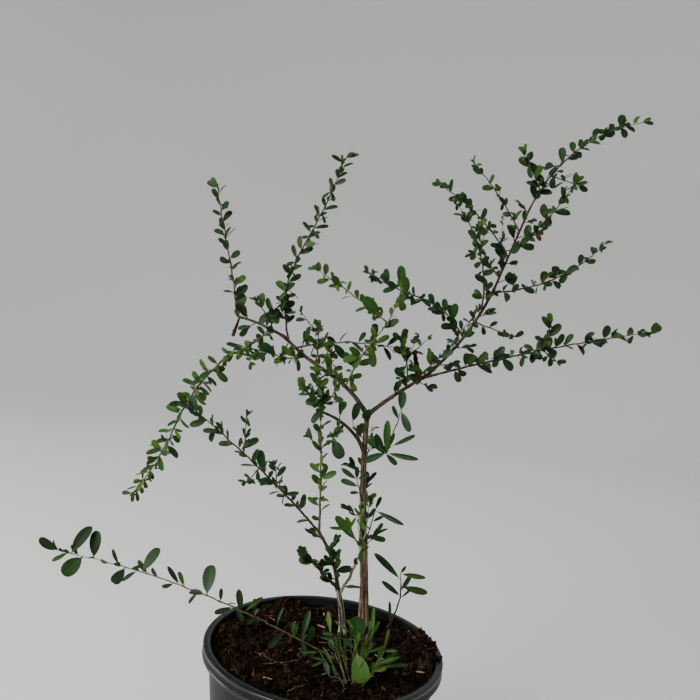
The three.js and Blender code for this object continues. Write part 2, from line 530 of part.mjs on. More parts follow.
// The bark-to-point distances of a list of limbs, the smallest of them.
function clearance(point, limbs) {
  let least = Infinity;
  for (const limb of limbs) {
    for (const { start, end, radius } of limb.pieces) {
      segment.set(start, end).closestPointToPoint(point, true, nearest);
      least = Math.min(least, nearest.distanceTo(point) - radius);
    }
  }
  return least;
}

function withPieces(limb) {
  const count = ringsFor(limb.length);
  const pieces = [];
  for (let i = 0; i < count; i += 1) {
    pieces.push({
      start: limb.curve.getPoint(i / count),
      end: limb.curve.getPoint((i + 1) / count),
      radius: limb.thickness(i / count),
    });
  }
  return { ...limb, pieces };
}

const PROBES = [[0.3, 0], [LEAF_WIDEST, 1], [LEAF_WIDEST, -1], [0.8, 0.6], [0.8, -0.6], [1, 0]];

// A leaf is kept where all of it is nearer to its own shoots than, or almost as near as, to any
// other mass's, clear of the limbs and above the soil and the rim.
function keepsToItsSpace(leaf, own, others, bark) {
  const across = new THREE.Vector3().crossVectors(leaf.face, leaf.along);
  return PROBES.every(([share, side]) => {
    const point = leaf.root.clone().addScaledVector(leaf.along, share * leaf.length)
      .addScaledVector(across, (side * leaf.slim * leaf.length) / 2);
    const inPot = Math.hypot(point.x, point.y) < RIM_RADIUS + 4 && point.z < POT_HEIGHT + 2;
    const inSoil = inPot && point.z < SOIL_LEVEL + 7;
    return !inSoil
      && (share < 0.5 || clearance(point, bark) > LIMB_CLEARANCE)
      && CROWDING * clearance(point, own) + GAP < clearance(point, others);
  });
}

// ---------------------------------------------------------------- the shrub

const limbs = {};
for (const spec of LIMBS) {
  limbs[spec.name] = makeLimb(spec.name, rootOf(spec, spec.radius[0], limbs), spec, spec.radius);
}

const twigRadius = (length) => [0.72 + 0.0028 * length, 0.55];

// Every shoot of every mass, so that a leaf can be tested against all of them.
const shoots = MASSES.map((mass) => {
  const radius = twigRadius(vector(mass.stem.reach).length());
  const stem = makeLimb(mass.name, rootOf(mass.stem, radius[0], limbs), mass.stem, radius);
  limbs[mass.name] = stem;
  const sides = (mass.sides ?? []).map((side) => {
    const thin = twigRadius(vector(side.reach).length());
    return makeLimb(mass.name, stem.curve.getPoint(side.at), side, thin);
  });
  return [stem, ...sides].map(withPieces);
});

const bark = LIMBS.map((spec) => withPieces(limbs[spec.name]));

// Every solid that stands already, with the node that it belongs to.
const standing = [];

function stand(node, geometry) {
  const solid = toSolid(geometry);
  geometry.computeBoundingBox();
  standing.push({ node, solid, box: geometry.boundingBox });
  return solid;
}

function touchesAnother(node, geometry) {
  geometry.computeBoundingBox();
  const near = standing.filter((other) => (
    other.node !== node && other.box.intersectsBox(geometry.boundingBox)));
  return near.length > 0 && near.some(({ solid }) => (
    solid.intersect(toSolid(geometry)).volume() > 0));
}

function makeMass(mass, own, others, seed) {
  const random = numbersFrom(seed);
  const specs = [mass, ...(mass.sides ?? [])];
  const solids = standing.filter(({ node }) => node === mass.name).map(({ solid }) => solid);
  const keep = (leaf) => {
    const geometry = leafGeometry(leaf);
    if (keepsToItsSpace(leaf, own, others, bark) && !touchesAnother(mass.name, geometry)) {
      solids.push(stand(mass.name, geometry));
    }
  };
  own.forEach((shoot, i) => {
    (specs[i].leaves ?? []).forEach((leaf) => keep(namedLeaf(shoot, leaf, random)));
    const found = leavesByRule(shoot, HABITS[specs[i].habit ?? mass.habit], random);
    found.leaves.forEach(keep);
    found.spurs.forEach(({ t, along, length, leafLength }) => {
      const reach = along.clone().multiplyScalar(length).toArray();
      const spur = makeLimb(mass.name, shoot.curve.getPoint(t), { reach }, [0.6, 0.4]);
      const tip = { root: spur.curve.getPoint(1), along, face: UP, length: 1, slim: 0.5 };
      const geometry = limbGeometry(spur, TWIG_SIDES, 1);
      if (keepsToItsSpace(tip, own, others, bark) && !touchesAnother(mass.name, geometry)) {
        solids.push(stand(mass.name, geometry));
        [0.9, -0.9].forEach((turn) => {
          const splay = along.clone().applyAxisAngle(spur.curve.squareTo(1, turn), turn);
          keep(placeLeaf(spur, 0.9, splay, random() - 0.5, leafLength, 0.5));
        });
      }
    });
  });
  return toGeometry(fuse(solids));
}

const shrub = new THREE.Group();

function addPiece(name, geometry, finish) {
  const material = new THREE.MeshStandardMaterial({ ...FINISHES[finish], metalness: 0 });
  const mesh = new THREE.Mesh(geometry, material);
  mesh.name = name;
  shrub.add(mesh);
}

addPiece('pot', makePot(), 'pot');
addPiece('soil', makeSoil(), 'soil');
for (const spec of LIMBS) {
  const limb = limbs[spec.name];
  const rings = ringsFor(limb.length, spec.flare ? FOOT_RING_STEP : RING_STEP);
  const solid = stand(spec.name, limbGeometry(limb, spec.sides, rings));
  addPiece(spec.name, toGeometry(solid), spec.finish);
}
for (const shoot of shoots.flat()) {
  stand(shoot.node, limbGeometry(shoot, TWIG_SIDES, ringsFor(shoot.length)));
}
MASSES.forEach((mass, i) => {
  const others = shoots.flatMap((group, k) => (k === i ? [] : group));
  addPiece(mass.name, makeMass(mass, shoots[i], others, FIRST_SEED + SEED_STEP * i), mass.finish);
});

export default shrub;
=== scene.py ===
"""A young firethorn in its round nursery pot: the finish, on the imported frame.

Everything is in metres with +Z up. The origin lies under the middle of the pot, and the
shrub's front faces -Y. The tables of limbs and shoots are in millimetres, and MM turns them
into metres.
"""
from __future__ import annotations

import json
import logging
import math
import random
from dataclasses import dataclass, field, replace
from enum import Enum
from typing import Any, Callable, Iterator, Sequence

import bmesh
import bpy
from mathutils import Euler, Matrix, Quaternion, Vector, noise

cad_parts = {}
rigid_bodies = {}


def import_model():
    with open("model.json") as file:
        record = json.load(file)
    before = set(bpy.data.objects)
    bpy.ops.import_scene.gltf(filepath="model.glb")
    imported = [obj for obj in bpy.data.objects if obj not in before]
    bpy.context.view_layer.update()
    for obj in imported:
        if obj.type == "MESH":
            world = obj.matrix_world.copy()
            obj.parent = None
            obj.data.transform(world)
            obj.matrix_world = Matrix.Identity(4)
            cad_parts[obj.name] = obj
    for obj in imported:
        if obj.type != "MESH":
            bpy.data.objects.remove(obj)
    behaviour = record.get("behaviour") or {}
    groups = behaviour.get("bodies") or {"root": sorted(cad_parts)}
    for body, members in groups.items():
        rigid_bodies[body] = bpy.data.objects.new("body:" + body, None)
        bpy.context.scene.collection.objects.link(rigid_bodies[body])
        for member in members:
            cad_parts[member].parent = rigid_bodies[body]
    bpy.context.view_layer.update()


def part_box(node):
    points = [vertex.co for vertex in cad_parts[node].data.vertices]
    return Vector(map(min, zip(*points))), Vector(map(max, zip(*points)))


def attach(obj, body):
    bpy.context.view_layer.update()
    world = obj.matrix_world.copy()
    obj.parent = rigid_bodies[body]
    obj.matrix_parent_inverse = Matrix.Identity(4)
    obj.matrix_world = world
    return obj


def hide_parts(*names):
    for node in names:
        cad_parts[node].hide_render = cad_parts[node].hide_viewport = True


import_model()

LOG = logging.getLogger("firethorn")

MM = 0.001
BODY = "root"

POT_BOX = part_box("pot")
RIM_RADIUS = POT_BOX[1][0]
POT_HEIGHT = POT_BOX[1][2]
GAP = 0.3 * MM  # air that the solids keep between neighbours
SOIL_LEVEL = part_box("trunk")[0][2] - GAP

UP = Vector((0.0, 0.0, 1.0))
LIGHT = Vector((-0.32, -0.8, 0.5)).normalized()  # leaves turn their faces to it
VIEW = Vector((-0.14, -0.94, 0.32)).normalized()  # and those named one by one to this
EYE_HEIGHT = 630 * MM  # the front is looked at from here
EYE_DISTANCE = 845 * MM

Colour = tuple[float, float, float, float]
Triple = tuple[float, float, float]


# ------------------------------------------------------------------ names to choose from

class Slot(Enum):
    """The record's material slots."""

    POT = "pot_plastic"
    SOIL = "potting_mix"
    TRUNK = "trunk_bark"
    YOUNG = "young_bark"
    DEAD = "dead_wood"
    LEAF_DARK = "leaf_dark"
    LEAF_FRESH = "leaf_fresh"
    LEAF_PALE = "leaf_pale"


class Wood(Enum):
    """Which bark a limb has."""

    TRUNK = "trunk"
    YOUNG = "young"
    DEAD = "dead"
    GREY = "grey"


class Tint(Enum):
    """The ages of leaf."""

    MATURE = 0
    FRESH = 1
    PALE = 2
    DRY = 3


class Part(Enum):
    """The parts of a leaf that differ in colour."""

    BLADE = 0
    RIB = 1
    BACK = 2


class Tone(Enum):
    """The colours of a thin strand: twigs, thorns, roots and fibres."""

    BROWN = 0
    OLIVE = 1
    GREEN = 2
    GREY = 3
    COIR = 4
    ROOT = 5
    CHIP = 6
    RUST = 7


@dataclass(frozen=True)
class HabitRule:
    """How a shoot carries its leaves; lengths in millimetres.

    length is the blade's, slim its width as a share of that, every the stem between two
    leaves, spread the leaf's angle from the stem in degrees, spurs the share of leaves that
    stand on a spur, and axils the share with smaller leaves at their foot.
    """

    length: float
    slim: float
    every: float
    spread: float
    spurs: float
    axils: float

    @property
    def leafy(self) -> bool:
        """Whether its leaves follow each other closely."""
        return self.every < 50


class Habit(Enum):
    """The kinds of shoot."""

    MATURE = HabitRule(17, 0.56, 10.4, 58, 0.05, 0.85)
    SMALL = HabitRule(14.5, 0.56, 10, 58, 0.04, 0.85)
    NARROW = HabitRule(15, 0.34, 13, 52, 0, 0.55)
    TUFT = HabitRule(19, 0.45, 9, 50, 0, 0.6)
    SPARSE = HabitRule(12, 0.45, 90, 52, 0, 0.2)
    THIN = HabitRule(13, 0.5, 14, 58, 0, 0.35)
    FEATHER = HabitRule(19, 0.42, 4.8, 64, 0, 0.5)
    PAIRS = HabitRule(15.5, 0.5, 6.2, 64, 0, 0.5)
    BLADES = HabitRule(20, 0.34, 13, 68, 0, 0.3)
    SLIM = HabitRule(16, 0.42, 7.5, 62, 0, 0.5)
    CLOSE = HabitRule(13, 0.56, 5.4, 62, 0, 0.6)
    UPRIGHT = HabitRule(19, 0.42, 7, 64, 0, 0.6)


# ------------------------------------------------------------------ tables, in millimetres

@dataclass(frozen=True)
class Stem:
    """Where a limb starts and where it goes, in millimetres.

    on and at say which limb carries it and how far up, foot where it stands in the soil.
    reach runs from root to tip, bow pushes the middle out, sway bends the halves apart.
    """

    reach: Triple
    on: str = ""
    at: float = 0.0
    foot: tuple[float, float] | None = None
    bow: Triple = (0, 0, 0)
    sway: Triple = (0, 0, 0)


@dataclass(frozen=True)
class LimbSpec:
    """The trunk, a stem or a bough: its course, and its radius at both ends."""

    name: str
    wood: Wood
    radius: tuple[float, float]
    stem: Stem
    flare: float = 0.0


@dataclass(frozen=True)
class SideSpec:
    """A side shoot; leaves are (how far up, length, heading, slim and, if its own, age).

    The heading is in degrees seen from the front, from the right and up over the top.
    """

    stem: Stem
    habit: Habit | None = None
    leaves: tuple[tuple[float, ...], ...] = ()
    tint: Tint | None = None


@dataclass(frozen=True)
class ShootSpec:
    """A leafy shoot with its side shoots; leaves are named one by one where they stand out."""

    name: str
    habit: Habit
    tint: Tint
    stem: Stem
    sides: tuple[SideSpec, ...] = ()
    leaves: tuple[tuple[float, ...], ...] = ()
    stout: float = 1.0  # how much thicker its stem is than its reach tells
    tone: Tone | None = None


LIMBS = (
    LimbSpec("trunk", Wood.TRUNK, (5.4, 2.6),
             Stem(foot=(42, 46), reach=(-23, -4, 246), bow=(-2, 1, 0), sway=(1.5, 0, 0)), flare=4),
    LimbSpec("side_stem", Wood.GREY, (3.1, 2.5),
             Stem(foot=(20, 48), reach=(-12, -8, 54), bow=(1, 0, 0)), flare=1.8),
    LimbSpec("side_stem_bough", Wood.YOUNG, (2.2, 1.7),
             Stem(on="side_stem", at=1, reach=(-28, -4, 62), bow=(4, 0, 2))),
    LimbSpec("low_bough", Wood.YOUNG, (1.9, 1.3),
             Stem(on="trunk", at=0.84, reach=(-44, -26, 36), bow=(3, 0, 4))),
    LimbSpec("left_bough", Wood.YOUNG, (2.4, 1.7),
             Stem(on="trunk", at=1, reach=(-95, 16, 69), bow=(2, 0, 3), sway=(2, 0, 2))),
    LimbSpec("left_bough_end", Wood.YOUNG, (1.6, 1.2),
             Stem(on="left_bough", at=1, reach=(-54, 8, 16), bow=(1, 0, 2))),
    LimbSpec("right_bough", Wood.YOUNG, (2.3, 1.8),
             Stem(on="trunk", at=1, reach=(56, 20, 43), bow=(-1, 0, 1))),
    LimbSpec("right_bough_riser", Wood.YOUNG, (1.7, 1.4),
             Stem(on="right_bough", at=1, reach=(66, 33, 100), bow=(5, 0, -4))),
    LimbSpec("right_bough_top", Wood.YOUNG, (1.3, 1.1),
             Stem(on="right_bough_riser", at=1, reach=(30, 23, 88))),
    LimbSpec("dead_snag_right", Wood.DEAD, (2.9, 2.1),
             Stem(on="right_bough", at=0.88, reach=(-8, -2, 29))),
    LimbSpec("dead_snag_left", Wood.DEAD, (0.9, 1.8),
             Stem(on="left_bough_end", at=0.94, reach=(-5, -3, -20))),
)


def fan_stalks(count: int = 25, seed: int = 5) -> tuple[SideSpec, ...]:
    """The stalks of the fan of suckers, from its left to its right, with two leaves on each.

    Args:
        count: How many there are.
        seed: Where the chances start.

    Returns:
        Their rows.
    """
    draw = random.Random(seed)
    stalks = []
    for i in range(count):
        sweep = 2 * i / (count - 1) - 1
        foot = (32 + 10 * sweep + draw.uniform(-4, 4), draw.uniform(-66, -40))
        lean = sweep + draw.uniform(-0.35, 0.35)
        reach = (22 * lean, draw.uniform(-8, 20), draw.uniform(12, 46) - 8 * lean ** 2)
        tint = draw.choice((Tint.MATURE, Tint.MATURE, Tint.MATURE, Tint.FRESH, Tint.PALE))
        leaves = []
        for up in (1.0, 0.55):
            heading = 95 - 70 * lean + draw.uniform(-45, 45)
            length = draw.choice((12, 14, 16, 20, 26)) * (0.5 + 0.5 * up)
            leaves.append((up, length, heading, draw.uniform(3, 5.2) / length))
        stem = Stem(reach, foot=foot, bow=(3 * lean, 0, 3))
        stalks.append(SideSpec(stem, leaves=tuple(leaves), tint=tint))
    return tuple(stalks)


SHOOTS = (
    ShootSpec("low_sweeping_shoot", Habit.BLADES, Tint.MATURE,
              Stem(foot=(13, -16), reach=(-275, -52, 104), bow=(4, 1, 12), sway=(-1, 0, -0.5)),
              leaves=((1, 20, 147, 0.55), (0.96, 29, 62, 0.46), (0.92, 21, 225, 0.75),
                      (0.89, 25, 94, 0.5), (0.785, 22, 238, 0.58), (0.73, 25, 65, 0.48),
                      (0.6, 22, 123, 0.26), (0.5, 26, 94, 0.52), (0.36, 22, 43, 0.26),
                      (0.14, 30, 80, 0.24)), stout=0.72, tone=Tone.OLIVE),
    ShootSpec("sucker_fan", Habit.SPARSE, Tint.MATURE,
              Stem(foot=(30, -50), reach=(2, 0, 36), bow=(1, 0, 0)), sides=fan_stalks(),
              leaves=((1, 22, 96, 0.74), (0.85, 17, 150, 0.4), (0.75, 22, 292, 0.72, 1)),
              tone=Tone.GREEN),
    ShootSpec("soil_shoot", Habit.SPARSE, Tint.MATURE,
              Stem(foot=(69, 70), reach=(7, -6, 68), bow=(6, 0, 0)),
              leaves=((0.89, 41, 141, 0.22), (0.6, 28, 141, 0.24), (1, 27, 4, 0.24),
                      (0.7, 21, 63, 0.32), (0.78, 32, 352, 0.3), (0.56, 18, 42, 0.18),
                      (1, 10, 60, 0.4), (0.08, 21, 94, 0.16)), stout=1.35),
    ShootSpec("side_stem_left_spray", Habit.SMALL, Tint.MATURE,
              Stem(on="side_stem", at=0.93, reach=(-36, -10, 33), bow=(1, 0, 1))),
    ShootSpec("side_stem_right_spray", Habit.NARROW, Tint.FRESH,
              Stem(on="side_stem", at=0.84, reach=(15, -16, 56), bow=(2, 0, 0)),
              sides=(
                  SideSpec(Stem(at=0.97, reach=(3, 5, 52), bow=(2, 0, 0)), Habit.NARROW),
                  SideSpec(Stem(at=0.9, reach=(-4, 3, 44), bow=(-2, 0, 0)), Habit.NARROW)),
              leaves=((0.1, 20, 10, 0.16),), stout=2.1, tone=Tone.GREY),
    ShootSpec("side_stem_tuft", Habit.TUFT, Tint.MATURE,
              Stem(on="side_stem_bough", at=0.22, reach=(-4, -22, 26), bow=(0, -3, 0))),
    ShootSpec("lower_left_shoot", Habit.SLIM, Tint.MATURE,
              Stem(on="side_stem_bough", at=1, reach=(-146, -28, 127), bow=(3, 0, 3)),
              sides=(
                  SideSpec(Stem(at=0.6, reach=(1, -8, 41)), Habit.NARROW),
                  SideSpec(Stem(at=0.48, reach=(-11, -8, -13))),
                  SideSpec(Stem(at=0.34, reach=(-4, -8, 24)))),
              leaves=((1, 14, 130, 0.5), (0.93, 18, 120, 0.55), (0.86, 17, 200, 0.5),
                      (0.8, 17, 250, 0.5), (0.62, 22, 42, 0.45), (0.46, 22, 100, 0.5)),
              stout=1.15),
    ShootSpec("slender_upright", Habit.SLIM, Tint.FRESH,
              Stem(on="side_stem_bough", at=0.96, reach=(-11, -18, 126), bow=(1, 0, 0)),
              sides=(
                  SideSpec(Stem(at=0.72, reach=(-13, -4, 9)), tint=Tint.MATURE),),
              stout=1.35, tone=Tone.OLIVE),
    ShootSpec("low_bough_cluster", Habit.CLOSE, Tint.FRESH,
              Stem(on="low_bough", at=1, reach=(-11, -13, 42)),
              sides=(
                  SideSpec(Stem(at=0.08, reach=(-22, -18, 24), bow=(-3, 0, 2))),
                  SideSpec(Stem(at=0.12, reach=(16, -14, 34), bow=(4, 0, 0))),
                  SideSpec(Stem(at=0.3, reach=(-6, 14, 26)))),
              leaves=((0.05, 15, 235, 0.5, 0), (0.3, 16, 200, 0.6, 0)), stout=0.9,
              tone=Tone.OLIVE),
    ShootSpec("low_bough_hanging_spray", Habit.CLOSE, Tint.FRESH,
              Stem(on="low_bough", at=0.62, reach=(-6, -12, -16)),
              leaves=((0.9, 18, 300, 0.7, 0),)),
    ShootSpec("upper_left_shoot", Habit.PAIRS, Tint.MATURE,
              Stem(on="left_bough_end", at=1, reach=(-28, -22, 127), bow=(1, 0, 0), sway=(1, 0, 0)),
              leaves=((0, 20, 75, 0.7), (0.1, 20, 60, 0.5), (1, 14, 150, 0.55))),
    ShootSpec("tall_left_shoot", Habit.PAIRS, Tint.MATURE,
              Stem(on="left_bough", at=0.95, reach=(42, -32, 190), bow=(-14, 0, 1), sway=(-6, 0, 0)),
              leaves=((1, 13, 20, 0.4), (0.97, 14, 150, 0.4)), stout=0.95),
    ShootSpec("left_cross_shoot", Habit.UPRIGHT, Tint.MATURE,
              Stem(on="left_bough", at=0.86, reach=(106, -10, 11), bow=(0, 3, 6)),
              sides=(
                  SideSpec(Stem(at=0.3, reach=(0, -5, -20)), Habit.CLOSE, tint=Tint.FRESH),)),
    ShootSpec("left_bough_spur", Habit.CLOSE, Tint.FRESH,
              Stem(on="left_bough", at=0.45, reach=(-5, -14, 30))),
    ShootSpec("drooping_shoot_arch", Habit.FEATHER, Tint.FRESH,
              Stem(on="left_bough", at=0.76, reach=(-84, 28, -14), bow=(4, 4, 4), sway=(2, 0, -5)),
              tone=Tone.OLIVE),
    ShootSpec("drooping_shoot", Habit.FEATHER, Tint.FRESH,
              Stem(on="drooping_shoot_arch", at=1, reach=(-103, 48, -182), bow=(-3, 0, 2),
                   sway=(-4, 0, 3)), stout=1.15, tone=Tone.OLIVE),
    ShootSpec("under_bough_spray", Habit.CLOSE, Tint.FRESH,
              Stem(on="left_bough_end", at=0.2, reach=(-30, -16, -22), bow=(0, 0, 3)),
              sides=(
                  SideSpec(Stem(at=0.9, reach=(8, -4, -13))),)),
    ShootSpec("bough_end_spray", Habit.MATURE, Tint.MATURE,
              Stem(on="left_bough_end", at=0.5, reach=(19, -12, 25)),
              sides=(
                  SideSpec(Stem(at=0.3, reach=(-12, -10, 16))),)),
    ShootSpec("pale_upright_shoot", Habit.THIN, Tint.PALE,
              Stem(on="left_bough", at=0.3, reach=(44, -46, 111), bow=(3, 1, 0), sway=(-3, 0, 1)),
              sides=(
                  SideSpec(Stem(at=0.66, reach=(-76, -8, 46), bow=(-1, 0, 2)), Habit.PAIRS,
                           ((0.1, 25, 135, 0.55, 1),)),),
              leaves=((0.17, 19, 130, 0.5, 1), (0.2, 17, 20, 0.5), (0.06, 15, 300, 0.5),
                      (0.3, 20, 195, 0.5, 1), (0.3, 15, 150, 0.5, 1), (0.3, 15, 240, 0.5, 1),
                      (0.42, 24, 285, 0.42), (0.5, 15, 100, 0.6, 0), (0.6, 17, 40, 0.5, 0),
                      (0.8, 18, 60, 0.5), (0.9, 15, 300, 0.6), (1, 20, 100, 0.5, 1)),
              stout=0.95, tone=Tone.GREEN),
    ShootSpec("long_right_shoot", Habit.MATURE, Tint.MATURE,
              Stem(on="right_bough", at=0.93, reach=(240, 38, 70), bow=(-1, 0, 4)),
              sides=(
                  SideSpec(Stem(at=0.52, reach=(-2, -6, 28))),
                  SideSpec(Stem(at=0.5, reach=(14, -10, -10)))),
              leaves=((1, 13, 40, 0.75), (0.92, 12, 250, 0.5), (0.78, 15, 85, 0.65),
                      (0.15, 15, 90, 0.6), (0.1, 15, 300, 0.6))),
    ShootSpec("right_riser_spray", Habit.SMALL, Tint.MATURE,
              Stem(on="right_bough_riser", at=0.66, reach=(44, 4, -11), bow=(0, 0, -1))),
    ShootSpec("crossing_shoot", Habit.MATURE, Tint.MATURE,
              Stem(on="right_bough_riser", at=0.48, reach=(-110, -24, 57), bow=(4, 0, 8),
                   sway=(2, 0, 3))),
    ShootSpec("outer_right_shoot", Habit.MATURE, Tint.MATURE,
              Stem(on="right_bough_riser", at=0.96, reach=(120, 29, 66), bow=(8, 0, -10))),
    ShootSpec("inner_right_shoot", Habit.SMALL, Tint.MATURE,
              Stem(on="right_bough_riser", at=0.76, reach=(-45, -38, 108), bow=(11, 0, 5))),
    ShootSpec("short_pale_shoot", Habit.SMALL, Tint.PALE,
              Stem(on="right_bough_top", at=0.14, reach=(-32, -26, 50), bow=(-4, 0, -2))),
    ShootSpec("upper_inner_shoot", Habit.SMALL, Tint.MATURE,
              Stem(on="right_bough_top", at=0.4, reach=(-86, -34, 66), bow=(4, 0, 6))),
    ShootSpec("upper_outer_shoot", Habit.MATURE, Tint.MATURE,
              Stem(on="right_bough_top", at=0.48, reach=(47, -46, 73), bow=(3, -2, -2)),
              sides=(
                  SideSpec(Stem(at=0.3, reach=(1, -5, 1)), leaves=((1, 12, 318, 0.5),),
                           tint=Tint.DRY),),
              leaves=((1, 12, 20, 0.4),)),
    ShootSpec("upper_middle_shoot", Habit.SMALL, Tint.MATURE,
              Stem(on="right_bough_top", at=0.74, reach=(-57, 10, 68), bow=(2, 0, 2))),
    ShootSpec("top_right_shoot", Habit.MATURE, Tint.MATURE,
              Stem(on="right_bough_top", at=1, reach=(122, 33, 116), bow=(-14, 0, 15)),
              sides=(
                  SideSpec(Stem(at=0.15, reach=(-22, -6, 36))),
                  SideSpec(Stem(at=0.27, reach=(28, -14, -9))),
                  SideSpec(Stem(at=0.36, reach=(-26, -6, -7)))),
              leaves=((1, 12, 0, 0.5), (0.86, 12, 300, 0.8), (0.86, 12, 110, 0.75))),
    ShootSpec("trunk_rosette", Habit.SPARSE, Tint.MATURE,
              Stem(on="trunk", at=0.79, reach=(19, -34, 20)),
              sides=(
                  SideSpec(Stem(at=0.7, reach=(10, -8, 12)),
                           leaves=((1, 28, 29, 0.2, 1), (0.8, 16, 78, 0.3))),
                  SideSpec(Stem(at=1, reach=(10, 0, 45)),
                           leaves=((1, 20, 300, 0.4), (1, 20, 90, 0.5), (0.8, 15, 120, 0.35))),
                  SideSpec(Stem(at=0.1, reach=(-20, 0, 40)),
                           leaves=((1, 20, 80, 0.5), (0.6, 15, 80, 0.55)))),
              leaves=((1, 27, 152, 0.3), (1, 34, 95, 0.27, 1), (1, 31, 0, 0.2),
                      (0.95, 18, 320, 0.38), (1, 25, 210, 0.35), (0.9, 13, 148, 0.35),
                      (0.85, 23, 116, 0.4), (0.75, 15, 60, 0.35))),
    ShootSpec("trunk_spray_upper", Habit.SPARSE, Tint.MATURE,
              Stem(on="trunk", at=0.6, reach=(-8, -16, 25)),
              leaves=((1, 20, 149, 0.32), (0.6, 21, 166, 0.36), (0.35, 10, 180, 0.4),
                      (1, 14, 33, 0.32), (1, 14, 95, 0.4))),
    ShootSpec("trunk_spray_middle", Habit.SPARSE, Tint.FRESH,
              Stem(on="trunk", at=0.375, reach=(-14, -13, 24)),
              leaves=((0.4, 34, 136, 0.34), (0.85, 17, 114, 0.42), (1, 21, 178, 0.2),
                      (1, 14, 70, 0.3), (0.6, 12, 150, 0.35))),
    ShootSpec("trunk_spray_right", Habit.SPARSE, Tint.MATURE,
              Stem(on="trunk", at=0.4, reach=(5, -13, 37)),
              leaves=((1, 30, 348, 0.18), (0.1, 21, 354, 0.36), (1, 15, 70, 0.3),
                      (0.6, 14, 30, 0.3))),
    ShootSpec("fork_spray", Habit.MATURE, Tint.MATURE,
              Stem(on="right_bough", at=0.66, reach=(-12, -14, 48), bow=(3, 0, 1)),
              leaves=((1, 15, 70, 0.5), (0.4, 17, 350, 0.45, 1))),
    ShootSpec("fork_spray_right", Habit.SMALL, Tint.MATURE,
              Stem(on="right_bough", at=0.8, reach=(20, -22, 30), bow=(0, -3, 2)),
              leaves=((1, 16, 40, 0.5), (0.7, 15, 110, 0.5, 1))),
    ShootSpec("back_left_shoot", Habit.THIN, Tint.MATURE,
              Stem(on="left_bough", at=0.6, reach=(-12, 104, 34), bow=(0, 0, 12)),
              sides=(
                  SideSpec(Stem(at=0.45, reach=(-22, 20, 20))),), stout=0.6),
    ShootSpec("back_right_shoot", Habit.THIN, Tint.MATURE,
              Stem(on="right_bough", at=0.5, reach=(22, 92, 52), bow=(0, 0, 8)),
              sides=(
                  SideSpec(Stem(at=0.5, reach=(20, 18, 18))),), stout=0.6),
    ShootSpec("back_low_shoot", Habit.THIN, Tint.MATURE,
              Stem(on="trunk", at=0.72, reach=(8, 76, 34), bow=(0, 0, 8)), stout=0.6),
    ShootSpec("back_upper_shoot", Habit.THIN, Tint.MATURE,
              Stem(on="right_bough_top", at=0.25, reach=(6, 82, 56), bow=(0, 4, -3)), stout=0.6),
    ShootSpec("front_left_shoot", Habit.THIN, Tint.MATURE,
              Stem(on="left_bough", at=0.62, reach=(2, -92, 48), bow=(0, 0, 8)), stout=0.6),
    ShootSpec("front_right_shoot", Habit.THIN, Tint.MATURE,
              Stem(on="right_bough_riser", at=0.3, reach=(6, -92, 40), bow=(0, 0, 8)), stout=0.6),
)


@dataclass(frozen=True)
class SpurRow:
    """Short leafy spurs along a limb: from, to, the wood between two, and their leaves."""

    on: str
    start: float
    end: float
    every: float
    length: float
    slim: float
    tint: Tint = Tint.MATURE


SPUR_ROWS = (
    SpurRow("trunk", 0.4, 0.98, 17, 17, 0.3),
    SpurRow("side_stem_bough", 0.25, 1, 19, 15, 0.34),
    SpurRow("low_bough", 0.3, 0.9, 20, 13, 0.45, Tint.FRESH),
    SpurRow("left_bough", 0.2, 1, 24, 12, 0.45),
    SpurRow("left_bough_end", 0.05, 1, 12, 14, 0.46),
    SpurRow("right_bough", 0.45, 1, 22, 13, 0.42),
    SpurRow("right_bough_riser", 0.05, 1, 8.5, 11.5, 0.44),
    SpurRow("right_bough_top", 0.03, 1, 7, 11.5, 0.46),
)


# ------------------------------------------------------------------ node trees

def pick(sockets: Any, key: str | int) -> bpy.types.NodeSocket:
    """Finds a socket that is in use, by its name or its place.

    Args:
        sockets: A node's inputs or outputs.
        key: The name, or the place among those in use.

    Returns:
        The socket.
    """
    used = [socket for socket in sockets if socket.enabled]
    if isinstance(key, int):
        return used[key]
    return next(socket for socket in used if socket.name == key)


class Graph:
    """A node tree that is built node by node."""

    def __init__(self, tree: bpy.types.NodeTree) -> None:
        """Starts on a tree, emptied."""
        self.tree = tree
        tree.nodes.clear()

    def node(self, kind: str, settings: dict[str, Any] | None = None,
             values: dict[str | int, Any] | None = None) -> bpy.types.Node:
        """Adds a node.

        Args:
            kind: The node's type.
            settings: Its own settings, which are set first; "stops" are a ramp's.
            values: A value or a link for each socket, by the socket's name or place.

        Returns:
            The node.
        """
        node = self.tree.nodes.new(kind)
        for name, setting in (settings or {}).items():
            if name == "stops":
                self._set_stops(node.color_ramp, setting)
            else:
                setattr(node, name, setting)
        for key, value in (values or {}).items():
            self.feed(pick(node.inputs, key), value)
        return node

    def value(self, kind: str, settings: dict[str, Any] | None = None,
              values: dict[str | int, Any] | None = None, output: str | int = 0) -> Value:
        """Adds a node and wraps one of its outputs.

        Args:
            kind: The node's type.
            settings: Its own settings.
            values: A value or a link for each socket.
            output: The output's name or place.

        Returns:
            The wrapped output.
        """
        return Value(self, pick(self.node(kind, settings, values).outputs, output))

    def feed(self, socket: bpy.types.NodeSocket, value: Any) -> None:
        """Links a value to a socket, or sets it there."""
        source = value.socket if isinstance(value, Value) else value
        if isinstance(source, bpy.types.NodeSocket):
            self.tree.links.new(source, socket)
        else:
            socket.default_value = source

    @staticmethod
    def _set_stops(ramp: bpy.types.ColorRamp, stops: Sequence[tuple[float, Colour]]) -> None:
        """Gives a ramp its stops."""
        while len(ramp.elements) < len(stops):
            ramp.elements.new(1.0)
        for element, (position, colour) in zip(ramp.elements, stops):
            element.position = position
            element.color = colour


